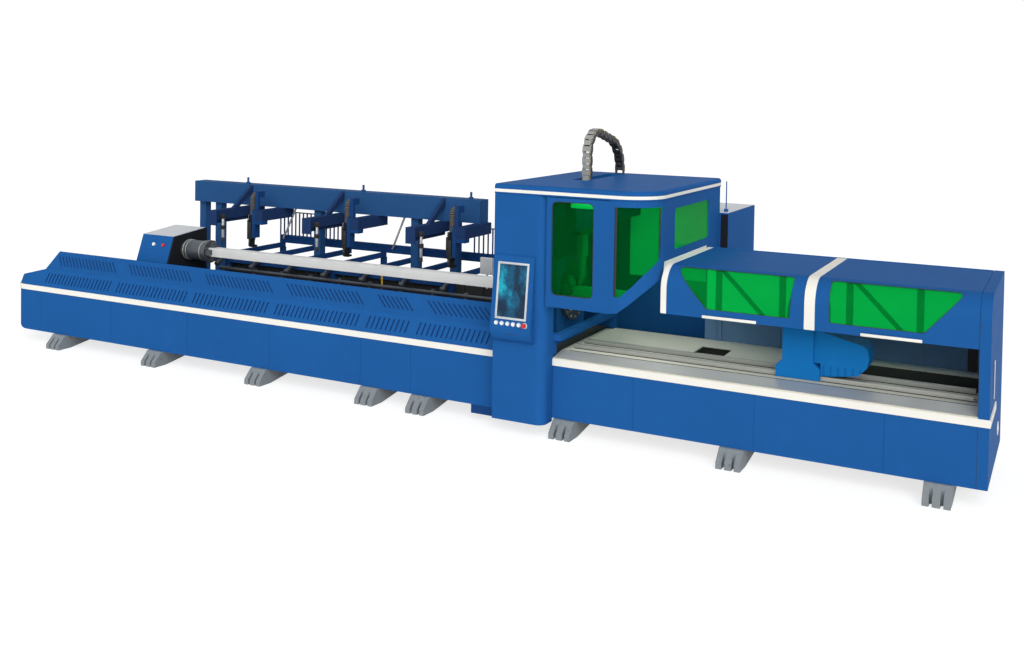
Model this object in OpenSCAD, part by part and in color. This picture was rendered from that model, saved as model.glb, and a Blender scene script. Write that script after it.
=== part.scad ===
// Fiber laser tube cutting machine with bundle loader, in millimetres, +Z up.
// The origin is on the floor in the middle of the machine's length and depth.
// Working datum inside the modules: x = 0 at the cabin's left wall, y = 0 at the
// bed's front skirt, z = 0 on the floor. place() shifts it to the origin.

/* [Beds] */
// Length of the feed bed from its end seam to the cabin
feed_len = 6315; // [4000:5:8000]
// Length of the rounded cover on the loose end of the feed bed
nose_len = 490; // [300:5:700]
// Corner radius of that cover in plan
nose_r = 200; // [100:5:300]
// Corner radius at that cover's lower edge
nose_low_r = 230; // [60:5:260]
// Length from the cabin's left wall to the end panel
right_len = 4135; // [3000:5:6000]
// Start of the unloading skirt beside the control column
unload_x = 530; // [500:5:800]
// Depth of both beds
bed_d = 1400; // [1200:5:1800]
// Height of the skirts' lower edge
skirt_z = 156; // [100:1:220]
// Height of the feed bed's top
bed_z = 702; // [600:1:900]
// Thickness of the skirt sheets
skirt_t = 8; // [4:1:12]
// Height of the white strip along the skirts
strip_h = 60; // [30:1:90]
// Thickness of the white strip
strip_t = 10; // [4:1:16]
// Width of the bed's side beams
beam_w = 400; // [200:5:500]
// Depth of the trough between the side beams
trough_d = 592; // [400:1:700]
// Height of the plate that joins the side beams
web_h = 60; // [20:1:120]
// Width of a seam between two sheets
seam_w = 6; // [2:1:10]
// Depth of a seam between two sheets
seam_t = 3; // [1:1:5]
// Length of the dark plinth under the feed bed beside the cabin
plinth_len = 330; // [200:5:500]
// Height of the gap below that plinth
plinth_z = 70; // [40:1:100]

/* [Feet] */
// Width of a foot
foot_w = 210; // [120:5:260]
// Reach of a foot in front of the skirt
foot_reach = 125; // [60:1:180]
// Depth of a foot below the bed
foot_back = 400; // [300:5:450]
// Height of a foot's toe
toe_h = 52; // [20:1:90]
// Width of an anchor slot
slot_w = 24; // [14:1:30]
// Depth of an anchor slot
slot_d = 70; // [40:1:100]
// Distance of an anchor slot from the foot's middle
slot_off = 42; // [30:1:70]

/* [Guard] */
// Height of the guard's fold above the bed
fold_h = 200; // [100:5:300]
// Lean of the guard's lower face at the fold
fold_y = 65; // [30:1:120]
// Height of the guard's top edge above the bed
guard_h = 388; // [250:1:500]
// Lean of the guard's top edge
guard_y = 270; // [150:1:290]
// Height of the guard's rim at the rounded end's tip
rim_tip = 30; // [10:1:60]
// Height of that rim behind its steep start
rim_h = 90; // [60:1:140]
// Length of the rim's steep start
rim_run = 45; // [20:1:90]
// Thickness of the guard sheet
guard_t = 6; // [3:1:8]
// Width of the flange on which the guard stands
guard_foot = 60; // [30:1:90]
// Width of one vent slot in the lower face
vent_w = 17; // [8:1:24]
// Length of one vent slot in the lower face
vent_l = 118; // [60:1:130]
// Lean of the lower vent slots in degrees
vent_tilt = 14; // [0:1:35]
// Width of one vent slot in the upper face
vent_up_w = 12; // [8:1:16]
// Length of one vent slot in the upper face
vent_up_l = 190; // [100:1:220]
// Lean of the upper vent slots in degrees
vent_up_tilt = 60; // [40:1:66]
// Spacing of the vent slots
vent_step = 54; // [50:1:80]
// Plain margin at the ends of a guard panel
vent_edge = 55; // [30:1:90]

/* [Feed carriage] */
// Height of the spindle axis
axis_z = 1205; // [1000:1:1400]
// Distance of the spindle axis from the front skirt
axis_y = 700; // [500:1:900]
// Length of the carriage cover
car_len = 485; // [400:5:700]
// Thickness of the carriage's face plate
face_t = 25; // [15:1:40]
// Position of the face plate along the feed bed, measured from the cabin
car_x = 4635; // [4400:5:4900]
// Front edge of the carriage cover
car_y = 390; // [370:1:440]
// Depth of the carriage cover
car_d = 630; // [500:5:680]
// Height of the carriage cover's rear edge above the bed
car_h = 723; // [600:1:800]
// Height of the carriage cover's front edge above the bed
car_front_h = 668; // [500:1:720]
// Height at which the cover's front starts to lean
car_lean_z = 370; // [300:1:500]
// Lean of the cover's front
car_lean = 105; // [40:1:160]
// Height of the carriage's base above the bed
base_gap = 40; // [38:1:60]
// Thickness of the carriage's base
base_t = 48; // [30:1:80]
// Overhang of the base beyond the rails
base_lap = 45; // [40:1:80]
// Radius of the carriage's push buttons
car_btn_r = 20; // [10:1:30]
// Reach of a carriage push button in front of its cover
car_btn_h = 16; // [10:1:24]
// Depth of the hole behind a push button
btn_sink = 30; // [24:1:50]
// Spacing of the carriage's push buttons
car_btn_step = 150; // [80:5:200]
// Distance of the red button from the face plate
car_btn_edge = 120; // [60:5:200]
// Distance of the buttons from the top of the leaning face
car_btn_drop = 110; // [60:5:200]
// Radius of the rear chuck
chuck_r = 115; // [90:1:160]
// Length of the rear chuck
chuck_len = 335; // [200:5:400]
// Radius of the rear chuck's spindle
spindle_r = 80; // [60:1:100]
// Length of the spindle inside the carriage
spindle_len = 80; // [60:1:140]
// Radius of the rear chuck's flange
flange_r = 132; // [110:1:180]
// Thickness of the rear chuck's flange
flange_t = 40; // [20:1:60]
// Length of a chuck jaw
jaw_len = 55; // [40:1:80]
// Width of a chuck jaw
jaw_w = 60; // [30:1:80]
// Height of a chuck jaw
jaw_h = 60; // [30:1:75]

/* [Tube] */
// Side of the square tube in the machine
tube_w = 100; // [60:1:120]
// Wall of the tube
tube_t = 5; // [3:1:8]
// Length of the tube
tube_len = 5240; // [4000:5:6000]

/* [Rails] */
// Width of a rail
rail_w = 45; // [30:1:65]
// Height of a rail
rail_h = 36; // [24:1:50]
// Distance of the feed rails from the front skirt and from the rear face
rail_y = 300; // [280:5:380]
// Distance of the rails' ends from the ends of a bed
rail_end = 60; // [30:5:150]
// Distance of the first unloading rail from the front skirt
out_rail_y = 330; // [300:5:400]
// Spacing of the two unloading rails
out_rail_step = 230; // [160:5:300]

/* [Tube supports] */
// Outer radius of a support's guide
guide_r = 75; // [50:1:100]
// Wall between a support's guide and its ram
guide_t = 25; // [12:1:30]
// Height of the guides' lower ends above the floor
guide_z = 40; // [20:1:100]
// Distance of the guides' upper ends from the bed's top
guide_drop = 86; // [84:1:160]
// Height of the support's fork below the bed's top at rest
fork_drop = 30; // [20:1:80]
// Width of a support's fork
fork_w = 260; // [160:5:360]
// Thickness of a support's fork
fork_t = 50; // [30:1:70]
// Radius of the support's roller
roller_r = 30; // [20:1:40]
// Length of the support's roller
roller_l = 190; // [120:5:240]

/* [Cabin] */
// Width of the cabin
cab_w = 1535; // [1200:5:1800]
// Reach of the cabin in front of the bed
cab_reach = 184; // [120:1:260]
// Distance of the cabin's rear wall from the front skirt
cab_back = 1793; // [1600:1:2000]
// Height of the cabin's roof
cab_z = 2300; // [2100:5:2500]
// Thickness of the roof
roof_t = 45; // [30:1:80]
// Edge radius of the roof
roof_r = 30; // [10:1:40]
// Corner radius of the cabin in plan
cab_r = 335; // [250:5:400]
// Thickness of the cabin's walls
wall_t = 10; // [6:1:16]
// Width of the control column
col_w = 527; // [480:1:560]
// Height of the column's lower edge
col_z = 121; // [80:1:150]
// Edge radius of the column
col_r = 86; // [10:1:100]
// Height of the white strip below the roof
top_strip_h = 40; // [20:1:60]
// Thickness of the white strip below the roof
top_strip_t = 8; // [4:1:12]
// Radius of the tube's opening in the left wall
port_r = 175; // [140:1:220]
// Height of the cabin's rear lower edge
cab_low_z = 60; // [30:1:120]
// Height of the right wall's lower edge
side_z = 1665; // [1655:1:1750]
// Start of the roof slot behind the front skirt
slot_y = 640; // [600:5:700]
// Length of the roof slot
slot_len = 1000; // [700:5:1010]
// Left edge of the roof slot
slot_x = 391; // [380:1:420]
// Width of the roof slot
slot_wide = 160; // [140:1:200]

/* [Door and windows] */
// Right edge of the door
door_x = 1140; // [1100:1:1190]
// Gap round the door
door_gap = 5; // [2:1:8]
// Height of the door's lower edge
door_z = 1215; // [1150:1:1300]
// Height of the door's upper edge
door_top = 2205; // [2100:1:2210]
// Thickness of the door
door_t = 20; // [12:1:30]
// Left edge of the door window
win_x = 585; // [585:1:700]
// Width of the door window
win_w = 404; // [300:1:420]
// Height of the door window's lower edge
win_z = 1330; // [1300:1:1400]
// Height of the door window
win_h = 838; // [600:1:850]
// Corner radius of the windows
win_r = 45; // [10:1:60]
// Thickness of the window panes
pane_t = 5; // [3:1:8]
// Lap of a pane behind its frame
pane_lap = 22; // [12:1:30]
// Left edge of the corner window
turn_win_x = 1189; // [1165:1:1200]
// Height of the corner window's upper edge
turn_win_top = 2155; // [2000:1:2200]
// Front edge of the side window
side_win_y = 415; // [300:5:500]
// Width of the side window
side_win_w = 1020; // [700:5:1200]
// Height of the side window's lower edge
side_win_z = 1738; // [1700:1:1800]
// Height of the side window
side_win_h = 375; // [250:1:420]

/* [Operator panel] */
// Left edge of the panel housing
hmi_x = 14; // [10:1:40]
// Width of the panel housing
hmi_w = 412; // [380:1:440]
// Height of the housing's lower edge
hmi_z = 858; // [800:1:900]
// Height of the housing
hmi_h = 790; // [700:5:850]
// Depth of the housing at its top
hmi_top_d = 14; // [6:1:30]
// Depth of the housing at its lip
hmi_low_d = 86; // [60:1:120]
// Height of the lip's curve
hmi_lip = 130; // [80:1:160]
// Width of the screen
screen_w = 280; // [240:1:300]
// Height of the screen
screen_h = 480; // [400:1:500]
// Thickness of the screen
screen_t = 12; // [6:1:16]
// Distance of the screen's lower edge from the lip's edge
screen_up = 105; // [90:1:140]
// Reach of the screen in front of the housing
screen_out = 3; // [1:1:6]
// Radius of a push button
btn_r = 15; // [10:1:20]
// Reach of a push button
btn_h = 12; // [8:1:18]
// Spacing of the push buttons
btn_step = 58; // [46:1:64]
// Distance of the push buttons from the lip's edge
btn_up = 46; // [34:1:60]
// Radius of the emergency stop's head
stop_r = 22; // [16:1:28]
// Reach of the emergency stop
stop_h = 28; // [20:1:40]

/* [Energy chain] */
// Width of the energy chain
chain_w = 88; // [60:1:110]
// Thickness of the energy chain
chain_t = 62; // [40:1:80]
// Distance of the chain's front leg from the front skirt
chain_y = 835; // [800:1:850]
// Distance between the chain's legs
chain_span = 856; // [800:1:890]
// Radius of the front bend at the chain's middle
bend_front = 206; // [180:1:230]
// Radius of the rear bend at the chain's middle
bend_rear = 346; // [300:1:380]
// Slope of the chain between its bends in degrees
chain_fall = 14; // [5:1:20]
// Height of the rear bend's centre above the roof
chain_up = 32; // [30:1:60]
// Number of links
links = 28; // [27:1:30]
// Distance between the pins of a link
pitch = 56; // [50:1:56]
// Thickness of a link's side plates
plate_t = 8; // [4:1:12]
// Thickness of a link's cross pieces
cross_t = 6; // [4:1:8]
// Thickness of the lid on a link
lid_t = 3; // [2:1:5]
// Clearance between the links
link_gap = 1; // [0.5:0.1:3]
// Left edge of the chain
chain_x = 433; // [425:1:445]

/* [Cutting head] */
// Left edge of the head's cross beam
head_beam_x = 575; // [560:1:620]
// Width of the head's cross beam
head_beam_w = 110; // [80:1:160]
// Height of the head's cross beam above the floor
head_beam_z = 1870; // [1800:1:1950]
// Height of the head's cross beam section
head_beam_h = 170; // [120:1:220]
// Front end of the head's cross beam
head_beam_y = 120; // [60:5:200]
// Left edge of the head's carriage
head_x = 455; // [450:1:470]
// Width of the head's carriage
head_w = 90; // [80:1:100]
// Depth of the head's carriage
head_d = 300; // [200:5:340]
// Height of the head's carriage
head_h = 280; // [200:5:300]
// Length of the head's slide
ram_h = 330; // [260:5:380]
// Depth of the head's slide
ram_d = 130; // [90:1:160]
// Width of the head's slide
ram_w = 60; // [40:1:80]
// Radius of the cutting head
cut_r = 38; // [28:1:44]
// Length of the cutting head
cut_h = 190; // [140:1:240]
// Length of the nozzle's cone
cone_h = 70; // [40:1:90]
// Radius of the nozzle's tip
tip_r = 6; // [3:1:10]
// Gap between the nozzle and the tube at rest
tip_gap = 36; // [32:1:60]

/* [Front chuck] */
// Left face of the front chuck's housing
front_x = 195; // [150:1:220]
// Thickness of the front chuck's housing
front_t = 190; // [120:1:210]
// Width of the front chuck's housing
front_w = 640; // [560:5:760]
// Height of the housing's top above the spindle axis
front_up = 345; // [310:1:400]
// Radius of the front chuck
rotor_r = 275; // [220:1:300]
// Reach of the front chuck beyond its housing
rotor_out = 45; // [20:1:50]
// Radius of the front chuck's bore
bore_r = 130; // [110:1:150]
// Clearance between a chuck's rollers and the tube
grip_gap = 3; // [1:1:6]
// Width of a chuck roller
grip_w = 40; // [20:1:60]
// Clearance of turning and sliding pieces
run_gap = 0.5; // [0.3:0.1:1.5]

/* [Cross rail] */
// Height of the cross rail below the door
cross_z = 868; // [800:1:960]
// Width of the cross rail
cross_w = 70; // [40:1:100]
// Height of the cross rail's section
cross_h = 60; // [40:1:90]

/* [Unloading bed] */
// Height of the table's upper face
table_z = 745; // [715:1:800]
// Thickness of the table's sheet
table_t = 10; // [5:1:14]
// Depth of the sloping apron
apron_d = 200; // [120:5:260]
// Distance of the rear wall from the bed's rear face
wall_in = 60; // [40:5:160]
// Thickness of the rear wall
rear_t = 12; // [8:1:20]
// Width of a rib on the rear wall
rib_w = 64; // [40:1:90]
// Width of the groove in a rib
rib_cut = 26; // [10:1:36]
// Thickness of a rib
rib_t = 10; // [4:1:14]
// Height of the upper end of the wall's sloping stays
stay_top = 1500; // [1300:5:1600]
// Height of the lower end of the wall's sloping stays
stay_low = 960; // [800:5:1100]
// Length of a sloping stay along the wall
stay_len = 530; // [300:5:600]
// Left edge of the table's opening
hole_x = 1625; // [1500:5:1700]
// Width of the table's opening
hole_w = 290; // [200:5:400]
// Front edge of the table's openings
hole_y = 620; // [600:5:660]
// Depth of the table's opening
hole_d = 420; // [300:5:500]
// Left end of the table's channel
chan_x = 3080; // [2900:5:3300]
// Depth of the table's channel
chan_d = 540; // [400:5:580]
// Width of the end panel
end_w = 82; // [50:1:120]
// Wall between the table's openings and the end panel
end_t = 12; // [8:1:20]
// Length of the strip's return on the end panel
strip_turn = 600; // [300:5:900]

/* [Hoods] */
// Left end of the first hood
hood_x = 1560; // [1545:1:1600]
// Length of the first hood
hood_1_len = 1238; // [1000:1:1400]
// Gap between the hoods and beside the end panel
hood_gap = 3; // [2:1:6]
// Height of the hoods' lower edge
hood_z = 1235; // [1180:1:1300]
// Height of the hoods' top
hood_top = 1650; // [1500:1:1654]
// Radius of the hoods' front edge
hood_r = 210; // [120:5:300]
// Sheet thickness of the hoods
hood_t = 8; // [4:1:12]
// Radius of the hoods' hinge barrels
hinge_r = 9; // [6:1:14]
// Height of the hood windows' lower edge
pane_z = 1310; // [1280:1:1360]
// Height of the hood windows' upper edge
pane_top = 1636; // [1560:1:1640]

/* [Unloading carriage] */
// Left edge of the carriage's base
out_x = 2505; // [2300:5:2700]
// Width of the carriage's base
out_w = 372; // [300:5:450]
// Front face of the carriage
out_y = 290; // [250:5:300]
// Depth of the carriage
out_d = 310; // [260:5:320]
// Height of the base's straight part
out_base_h = 95; // [60:1:140]
// Height of the base's shoulder
out_neck_h = 50; // [20:1:90]
// Width of the pedestal above the base
out_neck_w = 262; // [200:5:320]
// Gap between the carriage and the table
out_gap = 4; // [2:1:8]
// Radius of the carriage's chuck ring
ring_r = 205; // [180:1:230]
// Radius of the chuck that turns in the ring
out_rotor_r = 165; // [140:1:180]
// Reach of that chuck beyond the ring
out_rotor_out = 25; // [10:1:40]
// Length of the sloping tray
ski_len = 450; // [300:5:520]
// Height of the sloping tray
ski_h = 392; // [300:1:440]
// Depth of the sloping tray
ski_d = 250; // [180:5:290]
// Number of grooves in the tray
ski_n = 6; // [3:1:9]
// Width of a groove in the tray
ski_groove = 14; // [8:1:20]
// Depth of a groove in the tray
ski_cut = 8; // [4:1:14]

/* [Electrical cabinet] */
// Right face of the electrical cabinet
elec_x = 1625; // [1560:5:1700]
// Width of the electrical cabinet
elec_w = 900; // [600:5:1200]
// Depth of the electrical cabinet
elec_d = 1000; // [600:5:1200]
// Height of the electrical cabinet
elec_z = 1945; // [1700:5:2100]
// Height of its plinth
elec_plinth = 60; // [30:1:120]
// Inset of its plinth
elec_inset = 20; // [5:1:40]
// Height of the antenna
rod_h = 285; // [200:5:320]
// Radius of the antenna
rod_r = 6; // [4:1:10]
// Radius of the antenna's foot
rod_foot_r = 22; // [14:1:30]
// Height of the antenna's foot
rod_foot_h = 30; // [16:1:50]
// Distance of the antenna from the cabinet's edges
rod_edge = 60; // [40:1:120]

/* [Loader] */
// Left end of the main beam, measured from the cabin
load_x = 5625; // [5200:5:6000]
// Length of the main beam
load_len = 4330; // [3800:5:4500]
// Front face of the main beam
load_y = 1850; // [1820:5:2000]
// Depth of the main beam
load_d = 200; // [140:5:260]
// Height of the main beam's lower face
load_z = 1625; // [1560:5:1700]
// Height of the main beam
load_h = 268; // [200:1:320]
// Side of a post
post_w = 100; // [70:1:140]
// Height of a floor skid
skid_h = 100; // [60:1:140]
// Rear end of the floor skids
skid_end = 2500; // [2450:5:2700]
// Thickness of the plates that tie the skids to the bed
tie_t = 16; // [10:1:25]
// Height of the plates that tie the skids to the bed
tie_h = 320; // [240:5:400]
// Position of the first arm, measured from the cabin
arm_x = 4655; // [4500:5:4800]
// Spacing of the loading stations
arm_step = 1440; // [1300:5:1500]
// Width of an arm
arm_w = 100; // [70:1:140]
// Height of an arm
arm_h = 118; // [80:1:160]
// Front end of an arm
arm_y = 1150; // [1120:5:1250]
// Thickness of an arm's end plate
arm_plate = 12; // [8:1:20]
// Lap of an arm's end plate
arm_lap = 14; // [6:1:24]
// Width of a brace
brace_w = 46; // [30:1:70]
// Radius of the air cylinder below an arm
air_r = 26; // [16:1:36]
// Distance of the trolley beam from the arm
lane_x = 405; // [360:5:460]
// Width of a trolley beam
lane_w = 120; // [80:1:160]
// Height of a trolley beam
lane_h = 130; // [90:1:170]
// Front end of a trolley beam
lane_y = 1440; // [1400:5:1480]
// Length of a trolley beam
lane_len = 610; // [560:5:700]
// Width of a trolley's column
trol_w = 44; // [30:1:60]
// Depth of a trolley's column
trol_d = 100; // [70:1:130]
// Height of a trolley's column
trol_h = 345; // [300:5:380]
// Position of the trolleys at rest
trol_y = 1490; // [1490:5:1520]
// Width of a gripper
grip_body_w = 62; // [40:1:80]
// Depth of a gripper
grip_d = 76; // [50:1:100]
// Height of a gripper
grip_h = 250; // [200:5:300]
// Reach of a gripper's claw
claw_h = 150; // [90:5:180]
// Thickness of a gripper's claw
claw_t = 22; // [14:1:30]
// Length of a claw's toe
claw_toe = 58; // [30:1:70]
// Radius of a gripper's hose
hose_r = 29; // [16:1:30]
// Height of a hose's straight part
hose_h = 190; // [120:5:220]
// Radius of a hose's bend
hose_bend = 62; // [40:1:80]
// Reach of a hose behind its bend
hose_end = 34; // [20:1:60]
// Depth of the box at a hose's end
hose_box = 40; // [24:1:60]
// Height of a lifting eye on the beam
eye_h = 60; // [40:1:90]
// Radius of a lifting eye's post
eye_r = 14; // [8:1:20]

/* [Rack] */
// Left end of the rack, measured from the cabin
rack_x = 4560; // [4400:5:4700]
// Length of the rack
rack_len = 3260; // [2800:5:3400]
// Distance of the front rail from the front skirt
rack_y = 1270; // [1230:5:1300]
// Width of a rack rail
rack_w = 60; // [40:1:80]
// Height of the rack's front rail
rack_z = 985; // [900:5:1050]
// Distance of the rear rail from the front skirt
back_y = 2300; // [2250:5:2400]
// Height of the rear rail's section
back_h = 100; // [60:1:140]
// Number of bars that carry the bundle
bar_n = 7; // [4:1:9]
// Width of a bar
bar_w = 40; // [24:1:60]
// Height of a bar
bar_h = 60; // [40:1:90]
// Front end of a bar
bar_y = 1090; // [1070:5:1130]
// Height of a bar's stop
stop_up = 70; // [40:1:110]
// Depth of a bar's stop
stop_d = 46; // [30:1:70]
// Height of the fence
fence_h = 300; // [200:5:400]
// Side of a fence bar
fence_w = 14; // [8:1:20]
// Number of bars in the long fence
fence_n = 17; // [8:1:24]
// Number of bars in the short fence
fence_few = 6; // [3:1:9]
// Spacing of the fence bars
fence_step = 62; // [50:1:90]

/* [Hidden] */
$fn = 64;
// Overrun of every cut past the face that it opens
over = strip_t / 5;
blue = "#1f5aa6";
deep_blue = "#234a86";
white = "#e9e6de";
grey = "#7d868c";
steel = "#a9abaa";
beige = "#a5a396";
black = "#1d1f22";
green = "#1fae3f";
red = "#c3242b";

// Ends of the machine and its middle
x_left = -feed_len - nose_len - strip_t;
x_right = right_len + end_w + strip_t;
hmi_angle = atan((hmi_low_d - hmi_top_d) / (hmi_h - hmi_lip));
y_front = -cab_reach - hmi_low_d + (btn_up - stop_r) * sin(hmi_angle) - stop_h * cos(hmi_angle);
y_rear = cab_back + elec_d;
mid_x = (x_left + x_right) / 2;
mid_y = (y_front + y_rear) / 2;

// Shares of the hoods' length at which the rear wall's ribs stand
rib_shares = [0.035, 0.276, 0.517, 0.757, 0.957];
// Shares of the hoods' length at which the wall's stays start
stay_shares = [0.027, 0.518];
// Shares of a link's length between which its cross pieces lie
cross_shares = [0.2, 0.8];
// Shares of a link's length between which its lid lies
lid_shares = [0.04, 0.96];
// Shares of the feed bed at which its panels meet
panel_shares = [0, 0.187, 0.374, 0.557, 0.744, 0.839, 0.985];
// Shares of the unloading bed at which its panels meet
out_panel_shares = [0.22, 0.52, 0.81];
// Shares of the feed bed and of the right bed at which the feet stand
feed_foot_shares = [0.0385, 0.2833, 0.5216, 0.747, 0.8428];
right_foot_shares = [0.1342, 0.512, 0.909];
// Shares of the feed bed at which the tube supports stand
lift_shares = [0.37, 0.6, 0.86];
// Shares of the main beam at which its posts stand and its lifting eyes sit
post_shares = [0.01, 0.073, 0.447, 0.778, 0.9035];
eye_shares = [0.19, 0.61, 0.96];
// Outline of the first hood's window in shares of the hood's length
pane_1_shares = [[0.095, 1], [0.92, 1], [0.907, 0], [0.33, 0]];
// Outline of the second hood's window in shares of the hood's length
pane_2_shares = [[0.146, 1], [0.918, 1], [0.70, 0], [0.15, 0]];
// Lower edge of the cabin's turned corner, in shares of its width and of its rise
turn_shares = [[0, 0], [0.2, 0.02], [0.43, 0.175], [0.6, 0.318], [0.76, 0.45], [0.9, 0.58], [0.97, 0.67],
  [1, 1]];
// Lower edge of the corner window, in shares of its width and of its rise
turn_win_shares = [[0, 0.03], [0.17, 0.05], [0.466, 0.333], [0.657, 0.56], [0.827, 0.75], [0.965, 0.957]];
// Outline of the sloping tray in shares of its length and height
ski_shares = [[0, 0], [0.3, 0.02], [0.8, 0.1], [0.97, 0.3], [1, 0.5], [0.97, 0.68], [0.9, 0.76], [0, 1]];
// Share of its radius by which an air cylinder hangs below its arm
air_share = 0.8;
// Rise of the corner window's lower edge
turn_win_rise = side_z + pane_lap + strip_t - win_z - pane_lap;

hood_2_x = hood_x + hood_1_len + hood_gap;
hood_2_len = right_len - hood_gap - hood_2_x;
wall_y = bed_d - wall_in;
bar_z = rack_z + rack_w;
bar_top = bar_z + bar_h;
rail_top = bar_top + back_h;
hose_z = hose_h + hose_bend - lane_h / 2;
hose_back = hose_bend + hose_end + run_gap;
hood_rear = wall_y + rear_t + hinge_r + 2 * run_gap;
wall_top = hood_top - hood_t - run_gap;
pin_r = door_gap / 2 - run_gap;
link_r = pitch / 2 - link_gap;

// Middle line of the chain: rear leg, rear bend, slope, front bend, front leg
chain_rear = chain_y + chain_span;
chain_rise = chain_up - link_r;
chain_turn = 90 - chain_fall;
bend_step = bend_rear - bend_front;
chain_run = (chain_span - bend_front - bend_rear + bend_step * cos(chain_turn)) / cos(chain_fall);
chain_top = chain_up + bend_step * sin(chain_turn) + chain_run * sin(chain_fall);
rear_arc = bend_rear * chain_turn * PI / 180;
front_arc = bend_front * (180 - chain_turn) * PI / 180;

nose_x = -feed_len - nose_len;
table_low = table_z - table_t;
cab_top = cab_z - roof_t;
stop_y = door_t + run_gap - cab_reach;
stop_z = max(door_top - pane_lap, win_z + win_h + pane_lap + run_gap);
tray_y = out_y + (out_d - ski_d) / 2;
car_base_z = bed_z + base_gap;
car_cover_z = car_base_z + base_t;
lean_angle = atan(car_lean / (car_front_h - car_lean_z));
chuck_x = -car_x + run_gap * 4;
flange_x = chuck_x + chuck_len;
tip_z = axis_z + tube_w / 2 + tip_gap;
head_mid = head_x + head_w / 2;

// Shifts a piece from the working datum to the machine's origin
module place() {
  translate([-mid_x, -mid_y, 0]) children();
}

// Box between two limits along each axis
module block(xs, ys, zs) {
  translate([xs[0], ys[0], zs[0]]) cube([xs[1] - xs[0], ys[1] - ys[0], zs[1] - zs[0]]);
}

// Pulls a drawing of y and z along x
module along_x(x0, x1) {
  translate([x0, 0, 0]) rotate([90, 0, 90]) linear_extrude(height = x1 - x0) children();
}

// Pulls a drawing of x and z along y
module along_y(y0, y1) {
  translate([0, y1, 0]) rotate([90, 0, 0]) linear_extrude(height = y1 - y0) children();
}

// Round bar along x on the spindle axis
module spindle(r, x0, x1) {
  translate([x0, axis_y, axis_z]) rotate([0, 90, 0]) cylinder(r = r, h = x1 - x0);
}

// Rectangle with round corners
module soft_square(size, r) {
  translate([r, 0]) square([size[0] - 2 * r, size[1]]);
  translate([0, r]) square([size[0], size[1] - 2 * r]);
  for (x = [r, size[0] - r], y = [r, size[1] - r]) translate([x, y]) circle(r = r);
}

function unit(v) = v / norm(v);
function turn(a) = a > 180 ? a - 360 : a < -180 ? a + 360 : a;
// Points of one rounded corner
function corner(a, b, c, r, n) =
  let (u = unit(a - b), v = unit(c - b))
  let (half = acos(u * v) / 2)
  let (o = b + unit(u + v) * r / sin(half))
  let (s = b + u * r / tan(half) - o, e = b + v * r / tan(half) - o)
  let (from = atan2(s[1], s[0]))
  let (sweep = turn(atan2(e[1], e[0]) - from))
  [for (k = [0 : n]) o + r * [cos(from + sweep * k / n), sin(from + sweep * k / n)]];
// Outline with every corner rounded
function soften(p, r) =
  let (m = len(p))
  [for (i = [0 : m - 1]) each corner(p[(i + m - 1) % m], p[i], p[(i + 1) % m], r, 5)];
function middle(p) = [for (k = [0, 1]) (min([for (q = p) q[k]]) + max([for (q = p) q[k]])) / 2];
// Outline whose corners are moved outward
function grow(p, d) =
  let (c = middle(p))
  [for (q = p) q + d * [q[0] > c[0] ? 1 : -1, q[1] > c[1] ? 1 : -1]];

// Outline of the feed bed's rounded end, set in by a distance
module nose_2d(inset, run) {
  translate([nose_x + nose_r, inset]) square([nose_len - nose_r + run, bed_d - 2 * inset]);
  translate([nose_x + inset, nose_r]) square([nose_r - inset, bed_d - 2 * nose_r]);
  translate([nose_x + nose_r, nose_r]) circle(r = nose_r - inset);
  translate([nose_x + nose_r, bed_d - nose_r]) circle(r = nose_r - inset);
}

// Outline of the cabin in plan, set in by a distance, from a left limit to a rear limit
module cabin_2d(inset, x0, y1) {
  translate([x0, inset - cab_reach]) square([cab_w - cab_r - x0, y1 + cab_reach - inset]);
  translate([x0, cab_r - cab_reach]) square([cab_w - inset - x0, y1 + cab_reach - cab_r]);
  translate([cab_w - cab_r, cab_r - cab_reach]) circle(r = cab_r - inset);
}

// Section of a hood, set in by a distance, from a lower limit to a rear limit
module hood_2d(inset, low, rear) {
  translate([hood_r, low]) square([rear - hood_r, hood_top - inset - low]);
  translate([inset, low]) square([hood_r - inset, hood_top - hood_r - low]);
  translate([hood_r, hood_top - hood_r]) intersection() {
    circle(r = hood_r - inset);
    translate([-hood_r, -over]) square([2 * hood_r, 2 * hood_r]);
  }
}

// Axes of a leaning face: x right, y up the face, z out of it
module on_lean(x, y, z, angle) {
  translate([x, y, z]) rotate([90 - angle, 0, 0]) children();
}

module feed_frame() color(deep_blue) place() {
  difference() {
    union() {
      block([-feed_len, 0], [skirt_t, skirt_t + beam_w], [skirt_z, bed_z]);
      block([-feed_len, 0], [skirt_t + beam_w + trough_d, bed_d], [skirt_z, bed_z]);
      block([-feed_len, 0], [skirt_t, bed_d], [skirt_z, skirt_z + web_h]);
      block([-plinth_len, 0], [skirt_t, bed_d], [plinth_z, skirt_z]);
      for (s = lift_shares) translate([(s - 1) * feed_len, axis_y, guide_z])
        cylinder(r = guide_r, h = bed_z - guide_drop - guide_z);
    }
    for (s = lift_shares) translate([(s - 1) * feed_len, axis_y, guide_z + guide_t])
      cylinder(r = guide_r - guide_t, h = bed_z);
  }
}

module feed_skirt() color(blue) place() difference() {
  block([-feed_len, 0], [0, skirt_t], [skirt_z, bed_z]);
  for (s = panel_shares) translate([(s - 1) * feed_len, 0, 0])
    block([-seam_w / 2, seam_w / 2], [-over, seam_t], [skirt_z - over, bed_z + over]);
}

module feed_nose() color(blue) place() {
  difference() {
    translate([0, 0, skirt_z]) linear_extrude(height = bed_z - skirt_z) difference() {
      nose_2d(0, 0);
      nose_2d(skirt_t, over);
    }
    along_y(-over, bed_d + over) difference() {
      translate([nose_x - over, skirt_z - over]) square(nose_low_r + over);
      translate([nose_x + nose_low_r, skirt_z + nose_low_r]) circle(r = nose_low_r);
    }
  }
  nose_rim();
}

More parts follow.
